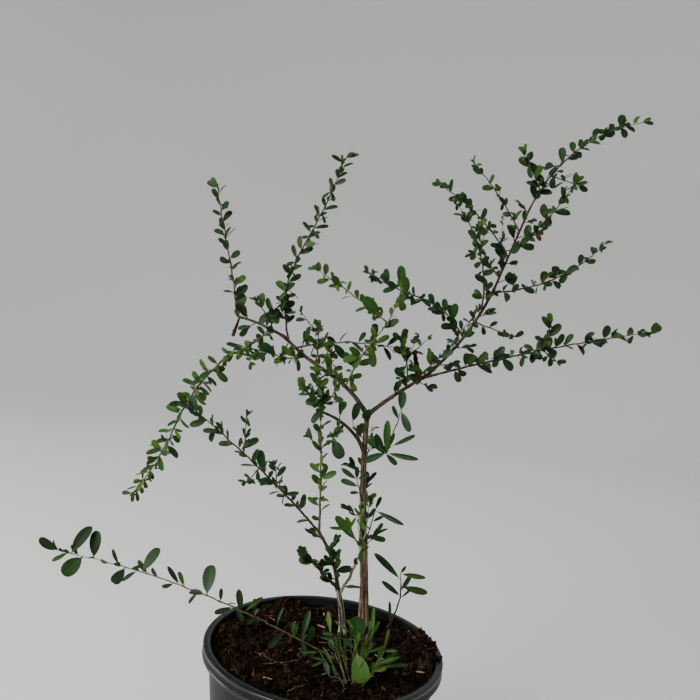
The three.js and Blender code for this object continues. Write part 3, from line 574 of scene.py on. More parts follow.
@dataclass(frozen=True)
class Value:
    """A socket that Python's operators work on."""

    graph: Graph
    socket: bpy.types.NodeSocket

    def maths(self, operation: str, *terms: Any) -> Value:
        """A Math node on these terms.

        Args:
            operation: The node's operation.
            terms: Numbers or values.

        Returns:
            Its result.
        """
        return self.graph.value("ShaderNodeMath", {"operation": operation},
                                dict(enumerate(terms)))

    def __add__(self, other: Any) -> Value:
        """The sum."""
        return self.maths("ADD", self, other)

    def __sub__(self, other: Any) -> Value:
        """The difference."""
        return self.maths("SUBTRACT", self, other)

    def __rsub__(self, other: Any) -> Value:
        """The difference, the other way round."""
        return self.maths("SUBTRACT", other, self)

    def __mul__(self, other: Any) -> Value:
        """The product."""
        return self.maths("MULTIPLY", self, other)

    def __pow__(self, other: Any) -> Value:
        """The power."""
        return self.maths("POWER", self, other)

    __radd__ = __add__
    __rmul__ = __mul__

    def equals(self, number: int) -> Value:
        """One where this is that whole number, and nought elsewhere."""
        return self.maths("COMPARE", self, float(number), 0.5)

    def ramped(self, low: float, high: float) -> Value:
        """Nought below low and one above high, and smooth between them."""
        return self.graph.value("ShaderNodeMapRange", {"interpolation_type": "SMOOTHSTEP"},
                                {"Value": self, "From Min": low, "From Max": high})


class Surface(Graph):
    """A material whose shader is fed by expressions."""

    def __init__(self, name: str, **sockets: float) -> None:
        """Makes the material.

        Args:
            name: Its name.
            sockets: Plain numbers for the shader's sockets, with _ for a space.
        """
        self.material = bpy.data.materials.new(name)
        self.material.use_nodes = True
        super().__init__(self.material.node_tree)
        self.shader = self.node("ShaderNodeBsdfPrincipled")
        self.node("ShaderNodeOutputMaterial", values={"Surface": self.shader.outputs["BSDF"]})
        for socket, number in sockets.items():
            self.feed(self.shader.inputs[socket.replace("_", " ")], number)

    def dress(self, socket: str, value: Any) -> None:
        """Feeds one of the shader's sockets."""
        self.feed(self.shader.inputs[socket], value)

    def place(self, stretch: Triple = (1.0, 1.0, 1.0)) -> Value:
        """Where a point lies on the object, in metres, stretched along the axes."""
        where = self.value("ShaderNodeTexCoord", output="Object")
        return self.value("ShaderNodeMapping", values={"Vector": where, "Scale": stretch})

    def attribute(self, name: str) -> Value:
        """A number that the mesh carries at each point."""
        return self.value("ShaderNodeAttribute", {"attribute_name": name}, output="Fac")

    def grain(self, where: Value, scale: float, detail: float = 3.0) -> Value:
        """A noise from about 0.25 to 0.75.

        Args:
            where: The coordinates that it reads.
            scale: Its waves to a metre.
            detail: Its octaves.

        Returns:
            The noise.
        """
        return self.value("ShaderNodeTexNoise",
                          values={"Vector": where, "Scale": scale, "Detail": detail})

    def mix(self, factor: Any, first: Any, second: Any) -> Value:
        """Goes from the first colour to the second as the factor goes from 0 to 1."""
        return self.value("ShaderNodeMix", {"data_type": "RGBA"},
                          {"Factor": factor, "A": first, "B": second})

    def bump(self, height: Value, depth: float, before: Value | None = None) -> Value:
        """A normal bent by a height from 0 to 1.

        Args:
            height: The height.
            depth: What a height of 1 stands for, in metres.
            before: A normal that is bent already.

        Returns:
            The normal.
        """
        values: dict[str | int, Any] = {"Height": height, "Distance": depth}
        if before is not None:
            values["Normal"] = before
        return self.value("ShaderNodeBump", values=values)


class GeometryTree(Graph):
    """A Geometry Nodes tree with named inputs, which is run once and turned into a mesh."""

    def __init__(self, name: str, inputs: dict[str, str]) -> None:
        """Makes the tree.

        Args:
            name: Its name.
            inputs: Each named input's socket type.
        """
        tree = bpy.data.node_groups.new(name, "GeometryNodeTree")
        super().__init__(tree)
        tree.interface.new_socket("Geometry", in_out="INPUT",
                                  socket_type="NodeSocketGeometry")
        tree.interface.new_socket("Geometry", in_out="OUTPUT",
                                  socket_type="NodeSocketGeometry")
        for title, kind in inputs.items():
            tree.interface.new_socket(title, in_out="INPUT", socket_type=kind)
        self.entry = self.node("NodeGroupInput")

    def given(self, name: str) -> Value:
        """One of the tree's inputs."""
        return Value(self, self.entry.outputs[name])

    def named(self, name: str, kind: str) -> Value:
        """An attribute that the geometry carries."""
        return self.value("GeometryNodeInputNamedAttribute", {"data_type": kind},
                          {"Name": name})

    def finish(self, shape: Value, dressing: Sequence[tuple[Any, bpy.types.Material]]) -> None:
        """Ends the tree: instances made real, then a material for each selection.

        Args:
            shape: The geometry so far.
            dressing: Pairs of a selection, True for all of it, and a material.
        """
        shape = self.value("GeometryNodeRealizeInstances", values={"Geometry": shape})
        for selection, material in dressing:
            shape = self.value("GeometryNodeSetMaterial", values={
                "Geometry": shape, "Selection": selection, "Material": material})
        self.node("NodeGroupOutput", values={0: shape})

    def run(self, piece: bpy.types.Object, values: dict[str, Any]) -> None:
        """Runs the tree on a piece and keeps the result as the piece's plain mesh.

        Args:
            piece: The object whose mesh the tree starts from.
            values: What its named inputs get.
        """
        modifier = piece.modifiers.new(self.tree.name, "NODES")
        modifier.node_group = self.tree
        for item in self.tree.interface.items_tree:
            if item.item_type == "SOCKET" and item.name in values:
                modifier[item.identifier] = values[item.name]
        keep_result(piece)


# ------------------------------------------------------------------ pieces

def keep_result(piece: bpy.types.Object) -> None:
    """Turns what a piece's modifiers make into its plain mesh."""
    graph = bpy.context.evaluated_depsgraph_get()
    mesh = bpy.data.meshes.new_from_object(
        piece.evaluated_get(graph), preserve_all_data_layers=True, depsgraph=graph)
    piece.modifiers.clear()
    piece.data = mesh


def new_object(name: str, mesh: bpy.types.Mesh) -> bpy.types.Object:
    """Puts a mesh in the scene, at the origin."""
    piece = bpy.data.objects.new(name, mesh)
    bpy.context.scene.collection.objects.link(piece)
    return piece


def new_mesh(name: str, points: Sequence[Any], faces: Sequence[Sequence[int]],
             edges: Sequence[tuple[int, int]] = ()) -> bpy.types.Mesh:
    """A smooth mesh from its points and faces.

    Args:
        name: The mesh's name.
        points: The corners.
        faces: The corners of each face, in order, outside up.
        edges: Edges with no face.

    Returns:
        The mesh.
    """
    mesh = bpy.data.meshes.new(name)
    mesh.from_pydata(points, edges, faces, shade_flat=False)
    mesh.update()
    return mesh


def mark(mesh: bpy.types.Mesh, name: str, kind: str, domain: str,
         values: Sequence[Any]) -> None:
    """Writes an attribute on a mesh.

    Args:
        mesh: The mesh.
        name: The attribute's name.
        kind: Its data type.
        domain: What carries it.
        values: One value for each element.
    """
    layer = mesh.attributes.new(name, kind, domain)
    if kind == "FLOAT_VECTOR":
        layer.data.foreach_set("vector", [number for vector in values for number in vector])
    else:
        layer.data.foreach_set("value", values)


def settle(piece: bpy.types.Object, slot: Slot, *nodes: str) -> None:
    """Ties a finished piece to the frame.

    Args:
        piece: The piece.
        slot: The record's slot for the piece's finish; not used.
        nodes: The solids that it stands for.
    """
    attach(piece, BODY)
    if nodes:
        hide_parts(*nodes)
    LOG.info("%s: %d faces, for %d solids", piece.name, len(piece.data.polygons), len(nodes))


def smooth_step(value: float, low: float, high: float) -> float:
    """Nought below low and one above high, and smooth between them."""
    share = min(1.0, max(0.0, (value - low) / (high - low)))
    return share * share * (3.0 - 2.0 * share)


def lathe(profile: Sequence[tuple[float, float]], segments: int,
          lift: Callable[[float, float, float], float] | None = None,
          ) -> tuple[list[Vector], list[list[int]]]:
    """Turns an outline round the Z axis into a closed surface.

    Args:
        profile: Radius and height of each point; the first and last lie on the axis.
        segments: Faces round the axis.
        lift: A height for each x, y and z, where the surface isn't round.

    Returns:
        The points and the faces.
    """
    points: list[Vector] = []
    rows: list[list[int]] = []
    for radius, z in profile:
        count = 1 if radius < 1e-9 else segments
        rows.append(list(range(len(points), len(points) + count)))
        for i in range(count):
            angle = math.tau * i / segments
            x, y = radius * math.cos(angle), radius * math.sin(angle)
            points.append(Vector((x, y, lift(x, y, z) if lift else z)))
    faces: list[list[int]] = []
    for low, high in zip(rows, rows[1:]):
        for i in range(segments):
            k = (i + 1) % segments
            ring = [low[i % len(low)], low[k % len(low)], high[k % len(high)], high[i % len(high)]]
            faces.append([p for n, p in enumerate(ring) if p != ring[n - 1]])
    return points, faces


# ------------------------------------------------------------------ finishes

def dark(colour: Colour, share: float) -> Colour:
    """A colour with its light scaled by a share."""
    return (colour[0] * share, colour[1] * share, colour[2] * share, 1.0)


@dataclass(frozen=True)
class PotFinish:
    """Moulded plastic with a dusty film, finer on the lip."""

    plastic: Colour = (0.0036, 0.004, 0.0044, 1.0)
    dust: Colour = (0.045, 0.0445, 0.041, 1.0)
    gloss: float = 0.45
    dull: float = 0.65
    bead_radius: float = 0.1215  # the lip's two beads lie outside this
    beads: tuple[tuple[float, float], ...] = ((0.2164, 0.2186), (0.2066, 0.21))

    def _worn(self, surface: Surface) -> Value:
        """One on the two beads of the lip, which are rubbed smooth."""
        apart = surface.node("ShaderNodeSeparateXYZ", values={0: surface.place()})
        x, y, z = [Value(surface, apart.outputs[axis]) for axis in "XYZ"]
        away = (x * x + y * y) ** 0.5
        bands = sum(z.ramped(low - 0.0006, low) * (1.0 - z.ramped(high, high + 0.0006))
                    for low, high in self.beads)
        return bands * away.ramped(self.bead_radius - 0.0012, self.bead_radius)

    def material(self) -> bpy.types.Material:
        """Makes the material."""
        surface = Surface("pot_plastic_dusty", Specular_IOR_Level=0.16, Coat_Roughness=0.16)
        film = surface.grain(surface.place(), 28.0, 5.0).ramped(0.42, 0.72)
        runs = surface.grain(surface.place((1.0, 1.0, 0.06)), 170.0).ramped(0.45, 0.75)
        specks = surface.grain(surface.place(), 900.0, 2.0).ramped(0.58, 0.72)
        dusty = film * 0.11 + runs * 0.06 + specks * 0.16
        surface.dress("Base Color", surface.mix(dusty, self.plastic, self.dust))
        surface.dress("Roughness", dusty * (self.dull - self.gloss) + self.gloss)
        surface.dress("Coat Weight", self._worn(surface) * (1.0 - dusty) * 0.6)
        pores = surface.grain(surface.place(), 1400.0, 2.0)
        waves = surface.grain(surface.place((1.0, 1.0, 0.3)), 60.0)
        surface.dress("Normal", surface.bump(pores, 0.10 * MM, surface.bump(waves, 0.5 * MM)))
        return surface.material


@dataclass(frozen=True)
class SoilFinish:
    """Moist bark and coir mix: a dark body colour with paler crumbs, and painted shade in the
    crevices between them.
    """

    name: str
    deep: Colour
    crumb: Colour
    fleck: Colour
    grit: float = 420.0
    shade_full_below: float = 0.24  # painted shade is full below this relief and fades out up to the next
    shade_none_above: float = 0.95

    def material(self) -> bpy.types.Material:
        """Makes the material."""
        surface = Surface(self.name, Specular_IOR_Level=0.03)
        lumps = surface.grain(surface.place(), 90.0, 5.0).ramped(0.36, 0.64)
        grit = surface.grain(surface.place(), self.grit, 4.0)
        flecks = surface.grain(surface.place(), 760.0, 2.0).ramped(0.63, 0.7)
        shade = lumps * 0.5 + grit.ramped(0.4, 0.65) * 0.5
        # painted shade: darker where the crumbs sink into crevices and lit on their tops
        shade = shade * surface.attribute("relief").ramped(self.shade_full_below, self.shade_none_above)
        shade = shade * (surface.grain(surface.place(), 34.0).ramped(0.4, 0.62) * 0.6 + 0.4)
        # paler in a few patches and darker elsewhere
        shade = shade * (surface.attribute("dry") * 0.62 + 0.38)
        body = surface.mix(shade, self.deep, self.crumb)
        surface.dress("Base Color", surface.mix(flecks * shade, body, self.fleck))
        surface.dress("Roughness", grit * 0.4 + 0.62)
        surface.dress("Normal", surface.bump(grit, 1.2 * MM))
        return surface.material


@dataclass(frozen=True)
class BarkFinish:
    """Bark whose colour follows its relief: furrows and plates, paler weathered patches, and a paler
    side that is painted sunlight.
    """

    name: str
    furrow: Colour
    plate: Colour
    weathered_and_sunlit: Colour
    rough: float = 0.8

    def material(self) -> bpy.types.Material:
        """Makes the material."""
        surface = Surface(self.name, Specular_IOR_Level=0.2)
        relief = surface.attribute("relief")
        facing = surface.attribute("facing")
        fibres = surface.grain(surface.place((1.0, 1.0, 0.07)), 900.0, 3.0)
        patches = surface.grain(surface.place((1.0, 1.0, 0.5)), 120.0, 3.0).ramped(0.35, 0.65)
        # painted light: the side that faces the sun is mixed towards the paler colour, with random
        # patches
        plate = surface.mix(facing * 0.65 + patches * 0.35, self.plate, self.weathered_and_sunlit)
        depth = (relief + (fibres - 0.5) * 0.9).ramped(0.12, 0.72)
        surface.dress("Base Color", surface.mix(depth, self.furrow, plate))
        surface.dress("Roughness", 1.0 - depth * (1.0 - self.rough))
        surface.dress("Normal", surface.bump(fibres, 0.35 * MM))
        return surface.material


@dataclass(frozen=True)
class StrandFinish:
    """The skin of a twig, thorn, root or fibre."""

    name: str
    skin: Colour
    mottle: Colour
    rough: float = 0.6

    def material(self) -> bpy.types.Material:
        """Makes the material."""
        surface = Surface(self.name, Specular_IOR_Level=0.18)
        patches = surface.grain(surface.place(), 260.0, 3.0).ramped(0.38, 0.62)
        streaks = surface.grain(surface.place((1.0, 1.0, 0.25)), 1300.0, 2.0)
        surface.dress("Base Color", surface.mix(patches, self.skin, self.mottle))
        surface.dress("Roughness", streaks * 0.3 + (self.rough - 0.15))
        surface.dress("Normal", surface.bump(streaks, 0.2 * MM))
        return surface.material


@dataclass(frozen=True)
class LeafFinish:
    """One shade of leaf: its upper side, its rib and its paler back."""

    name: str
    blade: Colour
    rib: Colour
    back: Colour
    rough: float = 0.36

    def materials(self) -> dict[Part, bpy.types.Material]:
        """Makes the three materials of this shade."""
        return {
            Part.BLADE: self._skin("blade", self.blade, self.rough, 0.12),
            Part.RIB: self._skin("rib", self.rib, self.rough + 0.15, 0.0),
            Part.BACK: self._skin("back", self.back, 0.62, 0.07),
        }

    def _skin(self, side: str, colour: Colour, rough: float, veined: float,
              ) -> bpy.types.Material:
        """Makes the skin of one side.

        Args:
            side: Which part it is, for the name.
            colour: Its colour.
            rough: Its roughness.
            veined: How strongly the side veins show.

        Returns:
            The material.
        """
        surface = Surface(f"{self.name}_{side}", Specular_IOR_Level=0.16)
        mottle = surface.grain(surface.place(), 170.0, 3.0).ramped(0.3, 0.7)
        body = surface.mix(mottle, dark(colour, 0.8), dark(colour, 1.2))
        cells = surface.grain(surface.place(), 1500.0, 2.0)
        height = cells
        if veined:
            veins = self._veins(surface)
            body = surface.mix(veins * veined, body, self.rib)
            height = cells * 0.5 + veins * 0.5
        surface.dress("Base Color", body)
        surface.dress("Roughness", mottle * 0.14 + (rough - 0.07))
        surface.dress("Normal", surface.bump(height, 0.12 * MM))
        return surface.material

    @staticmethod
    def _veins(surface: Surface) -> Value:
        """Side veins that run from the rib forward to the margin."""
        spread = surface.value("ShaderNodeUVMap", {"uv_map": "blade"})
        apart = surface.node("ShaderNodeSeparateXYZ", values={0: spread})
        across = Value(surface, apart.outputs["X"])
        along = Value(surface, apart.outputs["Y"])
        out = across.maths("ABSOLUTE", across - 0.5)
        wave = out.maths("SINE", (along * 9.0 - out * 7.0) * math.tau)
        return wave.ramped(0.72, 1.0)


POT_FINISH = PotFinish()
SOIL_FINISH = SoilFinish("soil_body", (0.0025, 0.0016, 0.0011, 1), (0.072, 0.043, 0.024, 1),
                         (0.13, 0.08, 0.045, 1))
CHIP_FINISHES = (
    SoilFinish("crumb_dark", (0.0022, 0.0014, 0.001, 1), (0.026, 0.0155, 0.009, 1),
               (0.06, 0.036, 0.021, 1), shade_full_below=0.1, shade_none_above=0.8),
    SoilFinish("crumb_brown", (0.01, 0.006, 0.0035, 1), (0.082, 0.047, 0.026, 1),
               (0.14, 0.085, 0.048, 1), shade_full_below=0.1, shade_none_above=0.8),
    SoilFinish("chip_tan", (0.055, 0.03, 0.015, 1), (0.18, 0.105, 0.058, 1),
               (0.26, 0.175, 0.11, 1), shade_full_below=0.0, shade_none_above=0.5),
)
# the third colour of each is the paler one that the random patches and the painted sunlit side take
BARK_FINISHES = {
    Wood.TRUNK: BarkFinish("bark_of_the_trunk", (0.042, 0.028, 0.017, 1),
                           (0.105, 0.075, 0.043, 1), (0.26, 0.175, 0.095, 1), 0.85),
    Wood.YOUNG: BarkFinish("bark_of_the_boughs", (0.009, 0.005, 0.004, 1),
                           (0.032, 0.019, 0.013, 1), (0.09, 0.066, 0.044, 1), 0.6),
    Wood.DEAD: BarkFinish("dead_bark", (0.006, 0.0028, 0.0024, 1),
                          (0.028, 0.012, 0.0085, 1), (0.062, 0.03, 0.021, 1), 0.9),
    Wood.GREY: BarkFinish("bark_of_the_side_stem", (0.02, 0.016, 0.011, 1),
                          (0.27, 0.25, 0.19, 1), (0.45, 0.425, 0.335, 1), 0.85),
}
STRAND_FINISHES = {
    Tone.BROWN: StrandFinish("twig_brown", (0.026, 0.012, 0.0075, 1), (0.062, 0.036, 0.02, 1), 0.6),
    Tone.OLIVE: StrandFinish("twig_olive", (0.046, 0.039, 0.0125, 1), (0.1, 0.084, 0.03, 1), 0.6),
    Tone.GREEN: StrandFinish("twig_green", (0.055, 0.068, 0.017, 1), (0.125, 0.135, 0.045, 1), 0.6),
    Tone.GREY: StrandFinish("stem_grey", (0.12, 0.118, 0.066, 1), (0.25, 0.24, 0.155, 1), 0.75),
    Tone.COIR: StrandFinish("coir_fibre", (0.045, 0.023, 0.011, 1), (0.1, 0.055, 0.028, 1), 0.85),
    Tone.ROOT: StrandFinish("fine_root", (0.075, 0.048, 0.029, 1), (0.15, 0.1, 0.062, 1), 0.8),
    Tone.CHIP: StrandFinish("pale_chip", (0.2, 0.125, 0.075, 1), (0.34, 0.235, 0.16, 1), 0.8),
    Tone.RUST: StrandFinish("rusty_chip", (0.1, 0.042, 0.018, 1), (0.19, 0.09, 0.042, 1), 0.85),
}
LEAF_FINISHES = {
    Tint.MATURE: (
        LeafFinish("leaf_deep", (0.0036, 0.0175, 0.0018, 1), (0.0095, 0.033, 0.0045, 1),
                   (0.028, 0.063, 0.016, 1), 0.4),
        LeafFinish("leaf_dark", (0.0068, 0.0295, 0.003, 1), (0.016, 0.05, 0.0066, 1),
                   (0.036, 0.076, 0.02, 1), 0.42),
        LeafFinish("leaf_bluish", (0.0082, 0.032, 0.0078, 1), (0.02, 0.054, 0.0145, 1),
                   (0.042, 0.084, 0.032, 1), 0.45),
        LeafFinish("leaf_olive", (0.015, 0.0375, 0.0034, 1), (0.034, 0.056, 0.0085, 1),
                   (0.042, 0.076, 0.02, 1), 0.42),
    ),
    Tint.FRESH: (
        LeafFinish("leaf_mid", (0.0148, 0.052, 0.0044, 1), (0.035, 0.088, 0.011, 1),
                   (0.054, 0.108, 0.025, 1), 0.45),
        LeafFinish("leaf_bright", (0.0245, 0.077, 0.0052, 1), (0.052, 0.118, 0.0135, 1),
                   (0.06, 0.122, 0.026, 1), 0.46),
        LeafFinish("leaf_sage", (0.023, 0.058, 0.009, 1), (0.046, 0.088, 0.019, 1),
                   (0.06, 0.108, 0.034, 1), 0.48),
    ),
    Tint.PALE: (
        LeafFinish("leaf_yellow_green", (0.026, 0.062, 0.0058, 1), (0.052, 0.1, 0.014, 1),
                   (0.06, 0.108, 0.024, 1), 0.48),
        LeafFinish("leaf_tip", (0.056, 0.105, 0.0115, 1), (0.09, 0.145, 0.024, 1),
                   (0.09, 0.14, 0.034, 1), 0.48),
    ),
    Tint.DRY: (
        LeafFinish("leaf_dry", (0.075, 0.021, 0.009, 1), (0.1, 0.036, 0.016, 1),
                   (0.12, 0.06, 0.03, 1), 0.6),
    ),
}


# ------------------------------------------------------------------ the pot

@dataclass(frozen=True)
class Pot:
    """The tapered pot with its rolled, twice beaded lip and its drain holes."""

    rim_width: float = 8 * MM
    rim_depth: float = 13 * MM
    heel_radius: float = 95 * MM
    heel_height: float = 12 * MM
    floor: float = 3 * MM
    wall: float = 2.4 * MM
    tuck: float = 1.2 * MM  # how far the wall reaches out under the lip
    segments: int = 192
    roll_steps: int = 8
    holes: int = 8
    hole_radius: float = 7 * MM
    hole_length: float = 24 * MM
    hole_sides: int = 24

    @property
    def body_top(self) -> float:
        """Where the wall meets the lip."""
        return POT_HEIGHT - self.rim_depth

    @property
    def body_radius(self) -> float:
        """Outside of the wall under the lip."""
        return RIM_RADIUS - self.rim_width + self.tuck

    def radius_at(self, z: float) -> float:
        """Outside of the wall at a height."""
        share = (z - self.heel_height) / (self.body_top - self.heel_height)
        return self.heel_radius + MM + share * (self.body_radius - self.heel_radius - MM)

    def _arc(self, centre: tuple[float, float], radius: float, start: float, end: float,
             ) -> list[tuple[float, float]]:
        """Points on an arc of the outline.

        Args:
            centre: Its centre, as radius and height.
            radius: Its radius.
            start: The angle that it starts at, in degrees from outward to up.
            end: The angle that it ends at.

        Returns:
            The points.
        """
        angles = [math.radians(start + (end - start) * i / self.roll_steps)
                  for i in range(self.roll_steps + 1)]
        return [(centre[0] + radius * math.cos(a), centre[1] + radius * math.sin(a))
                for a in angles]

    def outline(self) -> list[tuple[float, float]]:
        """The wall's closed outline, from the middle of the underside round to the floor."""
        foot = 3 * MM
        bead = 1.3 * MM
        edge = 1.1 * MM
        top = self.body_top
        inner = RIM_RADIUS - self.rim_width
        wall_in = self.body_radius - self.wall
        return [
            (0.0, 0.0), (self.heel_radius - 12 * MM, 0.0), (self.heel_radius - foot, 0.0),
            *self._arc((self.heel_radius - foot, foot), foot, -80, 0),
            (self.radius_at(self.heel_height), self.heel_height),
            (self.radius_at(self.heel_height + MM), self.heel_height + MM),
            *[(self.radius_at(z), z) for z in (0.05, 0.1, 0.15, 0.19)],
            (self.body_radius - 0.4 * MM, top - 3 * MM), (self.body_radius, top - MM),
            (self.body_radius + MM, top), (RIM_RADIUS - bead - 0.8 * MM, top),
            *self._arc((RIM_RADIUS - bead, top + bead), bead, -80, 70),
            (RIM_RADIUS - 1.2 * MM, top + 3.4 * MM), (RIM_RADIUS - 1.4 * MM, top + 5 * MM),
            (RIM_RADIUS - 1.2 * MM, top + 7.5 * MM), (RIM_RADIUS - 0.6 * MM, top + 9.6 * MM),
            *self._arc((RIM_RADIUS - 0.3 * MM - edge, POT_HEIGHT - 1.1 * MM - edge), edge, -10, 75),
            (RIM_RADIUS - 2.6 * MM, POT_HEIGHT - 0.5 * MM),
            (RIM_RADIUS - 4.2 * MM, POT_HEIGHT),
            (inner + 2.4 * MM, POT_HEIGHT - 0.1 * MM),
            *self._arc((inner + 1.6 * MM, POT_HEIGHT - 2.0 * MM), 1.6 * MM, 80, 180),
            (inner + 0.6 * MM, top + 2 * MM),
            (wall_in, top - 3 * MM),
            *[(self.radius_at(z) - self.wall, z) for z in (0.19, 0.15, 0.1, 0.05)],
            (self.radius_at(self.heel_height) - self.wall, self.heel_height),
            (self.heel_radius - 5 * MM, self.floor), (0.0, self.floor)]

    def _drills(self) -> bpy.types.Object:
        """One mesh of all the cutters for the drain holes."""
        shape = bmesh.new()
        for i in range(self.holes):
            angle = math.tau * i / self.holes + math.pi / 32
            place = (Matrix.Rotation(angle, 4, "Z")
                     @ Matrix.Translation((self.heel_radius, 0.0, MM))
                     @ Matrix.Rotation(math.pi / 2, 4, "Y"))
            bmesh.ops.create_cone(shape, cap_ends=True, segments=self.hole_sides,
                                  radius1=self.hole_radius, radius2=self.hole_radius,
                                  depth=self.hole_length, matrix=place)
        mesh = bpy.data.meshes.new("drills")
        shape.to_mesh(mesh)
        shape.free()
        return new_object("drills", mesh)

    def build(self) -> None:
        """Makes the pot."""
        pot = new_object("pot_shell", new_mesh("pot_shell", *lathe(self.outline(), self.segments)))
        drills = self._drills()
        cut = pot.modifiers.new("holes", "BOOLEAN")
        cut.object = drills
        cut.operation = "DIFFERENCE"
        cut.solver = "EXACT"
        keep_result(pot)
        bpy.data.objects.remove(drills)
        pot.data.materials.clear()
        pot.data.materials.append(POT_FINISH.material())
        pot.data.set_sharp_from_angle(angle=math.radians(40))
        settle(pot, Slot.POT, "pot")


# ------------------------------------------------------------------ strands

@dataclass(frozen=True)
class Strand:
    """A round strand: points along its middle, its radius at each, and its colour."""

    points: list[Vector]
    radii: list[float]
    tone: Tone


class StrandTree(GeometryTree):
    """Sweeps a round section along loose edges, as thick as each point says."""

    def __init__(self, tones: Sequence[Tone]) -> None:
        """Builds the tree for strands of these tones."""
        super().__init__("round_strands", {"Sides": "NodeSocketInt", "Swell": "NodeSocketFloat"})
        course = self.value("GeometryNodeMeshToCurve", values={"Mesh": self.given("Geometry")})
        section = self.value("GeometryNodeCurvePrimitiveCircle", {"mode": "RADIUS"},
                             {"Resolution": self.given("Sides"), "Radius": 1.0})
        shape = self.value("GeometryNodeCurveToMesh", values={
            "Curve": course, "Profile Curve": section, "Fill Caps": True,
            "Scale": self.named("thickness", "FLOAT") * self.given("Swell")})
        tone = self.named("tone", "INT")
        self.finish(shape, [(tone.equals(kind.value), STRAND_FINISHES[kind].material())
                            for kind in tones])


def build_strands(name: str, strands: Sequence[Strand], sides: int) -> bpy.types.Object:
    """Makes one piece of many strands.

    Args:
        name: The piece's name.
        strands: The strands.
        sides: Faces round each.

    Returns:
        The piece, not yet tied to the frame.
    """
    points: list[Vector] = []
    edges: list[tuple[int, int]] = []
    radii: list[float] = []
    tones: list[int] = []
    for strand in strands:
        first = len(points)
        points.extend(strand.points)
        edges.extend((i, i + 1) for i in range(first, len(points) - 1))
        radii.extend(strand.radii)
        tones.extend([strand.tone.value] * len(strand.points))
    mesh = new_mesh(name, points, [], edges)
    mark(mesh, "thickness", "FLOAT", "POINT", radii)
    mark(mesh, "tone", "INT", "POINT", tones)
    piece = new_object(name, mesh)
    used = sorted({strand.tone for strand in strands}, key=lambda kind: kind.value)
    StrandTree(used).run(piece, {"Sides": sides, "Swell": 1.0})
    return piece


# ------------------------------------------------------------------ the potting mix

class ScatterTree(GeometryTree):
    """Strews small shapes over a surface, turned and sized at random from a fixed seed."""

    def __init__(self, materials: Sequence[bpy.types.Material]) -> None:
        """Builds the tree; the shapes share these materials out among them."""
        super().__init__("strewn_chips", {
            "Shapes": "NodeSocketCollection", "Per square metre": "NodeSocketFloat",
            "Smallest": "NodeSocketFloat", "Largest": "NodeSocketFloat",
            "Seed": "NodeSocketInt"})
        seed = self.given("Seed")
        spots = self.value("GeometryNodeDistributePointsOnFaces", values={
            "Mesh": self.given("Geometry"), "Density": self.given("Per square metre"),
            "Seed": seed})
        turn = self.value("FunctionNodeRandomValue", {"data_type": "FLOAT_VECTOR"},
                          {"Min": (0.0, 0.0, 0.0), "Max": (math.tau,) * 3, "Seed": seed})
        share = self.value("FunctionNodeRandomValue", {"data_type": "FLOAT"},
                           {"Min": 0.0, "Max": 1.0, "Seed": seed + 1})
        smallest = self.given("Smallest")
        size = share ** 2.5 * (self.given("Largest") - smallest) + smallest
        form = self.value("FunctionNodeRandomValue", {"data_type": "INT"},
                          {"Min": 0, "Max": 99, "Seed": seed + 2})
        tone = self.value("FunctionNodeRandomValue", {"data_type": "FLOAT"},
                          {"Min": 0.0, "Max": 1.0, "Seed": seed + 3})
        chips = self.value("GeometryNodeInstanceOnPoints", values={
            "Points": spots,
            "Instance": self.value("GeometryNodeCollectionInfo", values={
                "Collection": self.given("Shapes"), "Separate Children": True}),
            "Pick Instance": True, "Instance Index": form,
            "Rotation": self.value("FunctionNodeEulerToRotation", values={0: turn}),
            "Scale": size})
        told = self.value("GeometryNodeStoreNamedAttribute",
                          {"data_type": "FLOAT", "domain": "INSTANCE"},
                          {"Geometry": chips, "Name": "tone", "Value": tone})
        picked = self.named("tone", "FLOAT")
        limits = (-1.0, 0.64, 0.965)  # each material takes the tones above its limit
        self.finish(told, [(picked.maths("GREATER_THAN", picked, limit), material)
                           for limit, material in zip(limits, materials)])


@dataclass(frozen=True)
class ChipShape:
    """A crumb, a flake or a splinter: a lump of twenty faces, stretched and dented."""

    stretch: Triple
    dents: float
    seed: int

    def build(self, name: str) -> bpy.types.Object:
        """Makes the shape, one metre long, to be scaled."""
        draw = random.Random(self.seed)
        shape = bmesh.new()
        bmesh.ops.create_icosphere(shape, subdivisions=1, radius=0.5)
        for corner in shape.verts:
            dent = 1.0 + self.dents * (draw.random() - 0.5)
            corner.co = Vector([c * s * dent for c, s in zip(corner.co, self.stretch)])
        mesh = bpy.data.meshes.new(name)
        shape.to_mesh(mesh)
        shape.free()
        return bpy.data.objects.new(name, mesh)


CHIP_SHAPES = (
    ChipShape((1.0, 0.8, 0.6), 0.7, 3), ChipShape((0.9, 0.7, 0.75), 0.9, 4),
    ChipShape((1.4, 0.6, 0.22), 0.5, 5), ChipShape((1.9, 0.35, 0.2), 0.5, 6),
    ChipShape((1.1, 0.9, 0.3), 0.8, 7))


@dataclass(frozen=True)
class Litter:
    """A kind of straw, root or chip that lies strewn on the soil; lengths in millimetres."""

    tone: Tone
    count: int
    length: tuple[float, float]
    radius: tuple[float, float]
    curl: float  # how far it turns along its length, in degrees
    stiff: float  # how far it spans the hollows


LITTER = (
    Litter(Tone.CHIP, 10, (8, 20), (0.4, 1.1), 0, 1),
    Litter(Tone.RUST, 10, (6, 20), (0.5, 1.3), 0, 1),
    Litter(Tone.ROOT, 10, (20, 50), (0.35, 0.5), 60, 0.6),
)


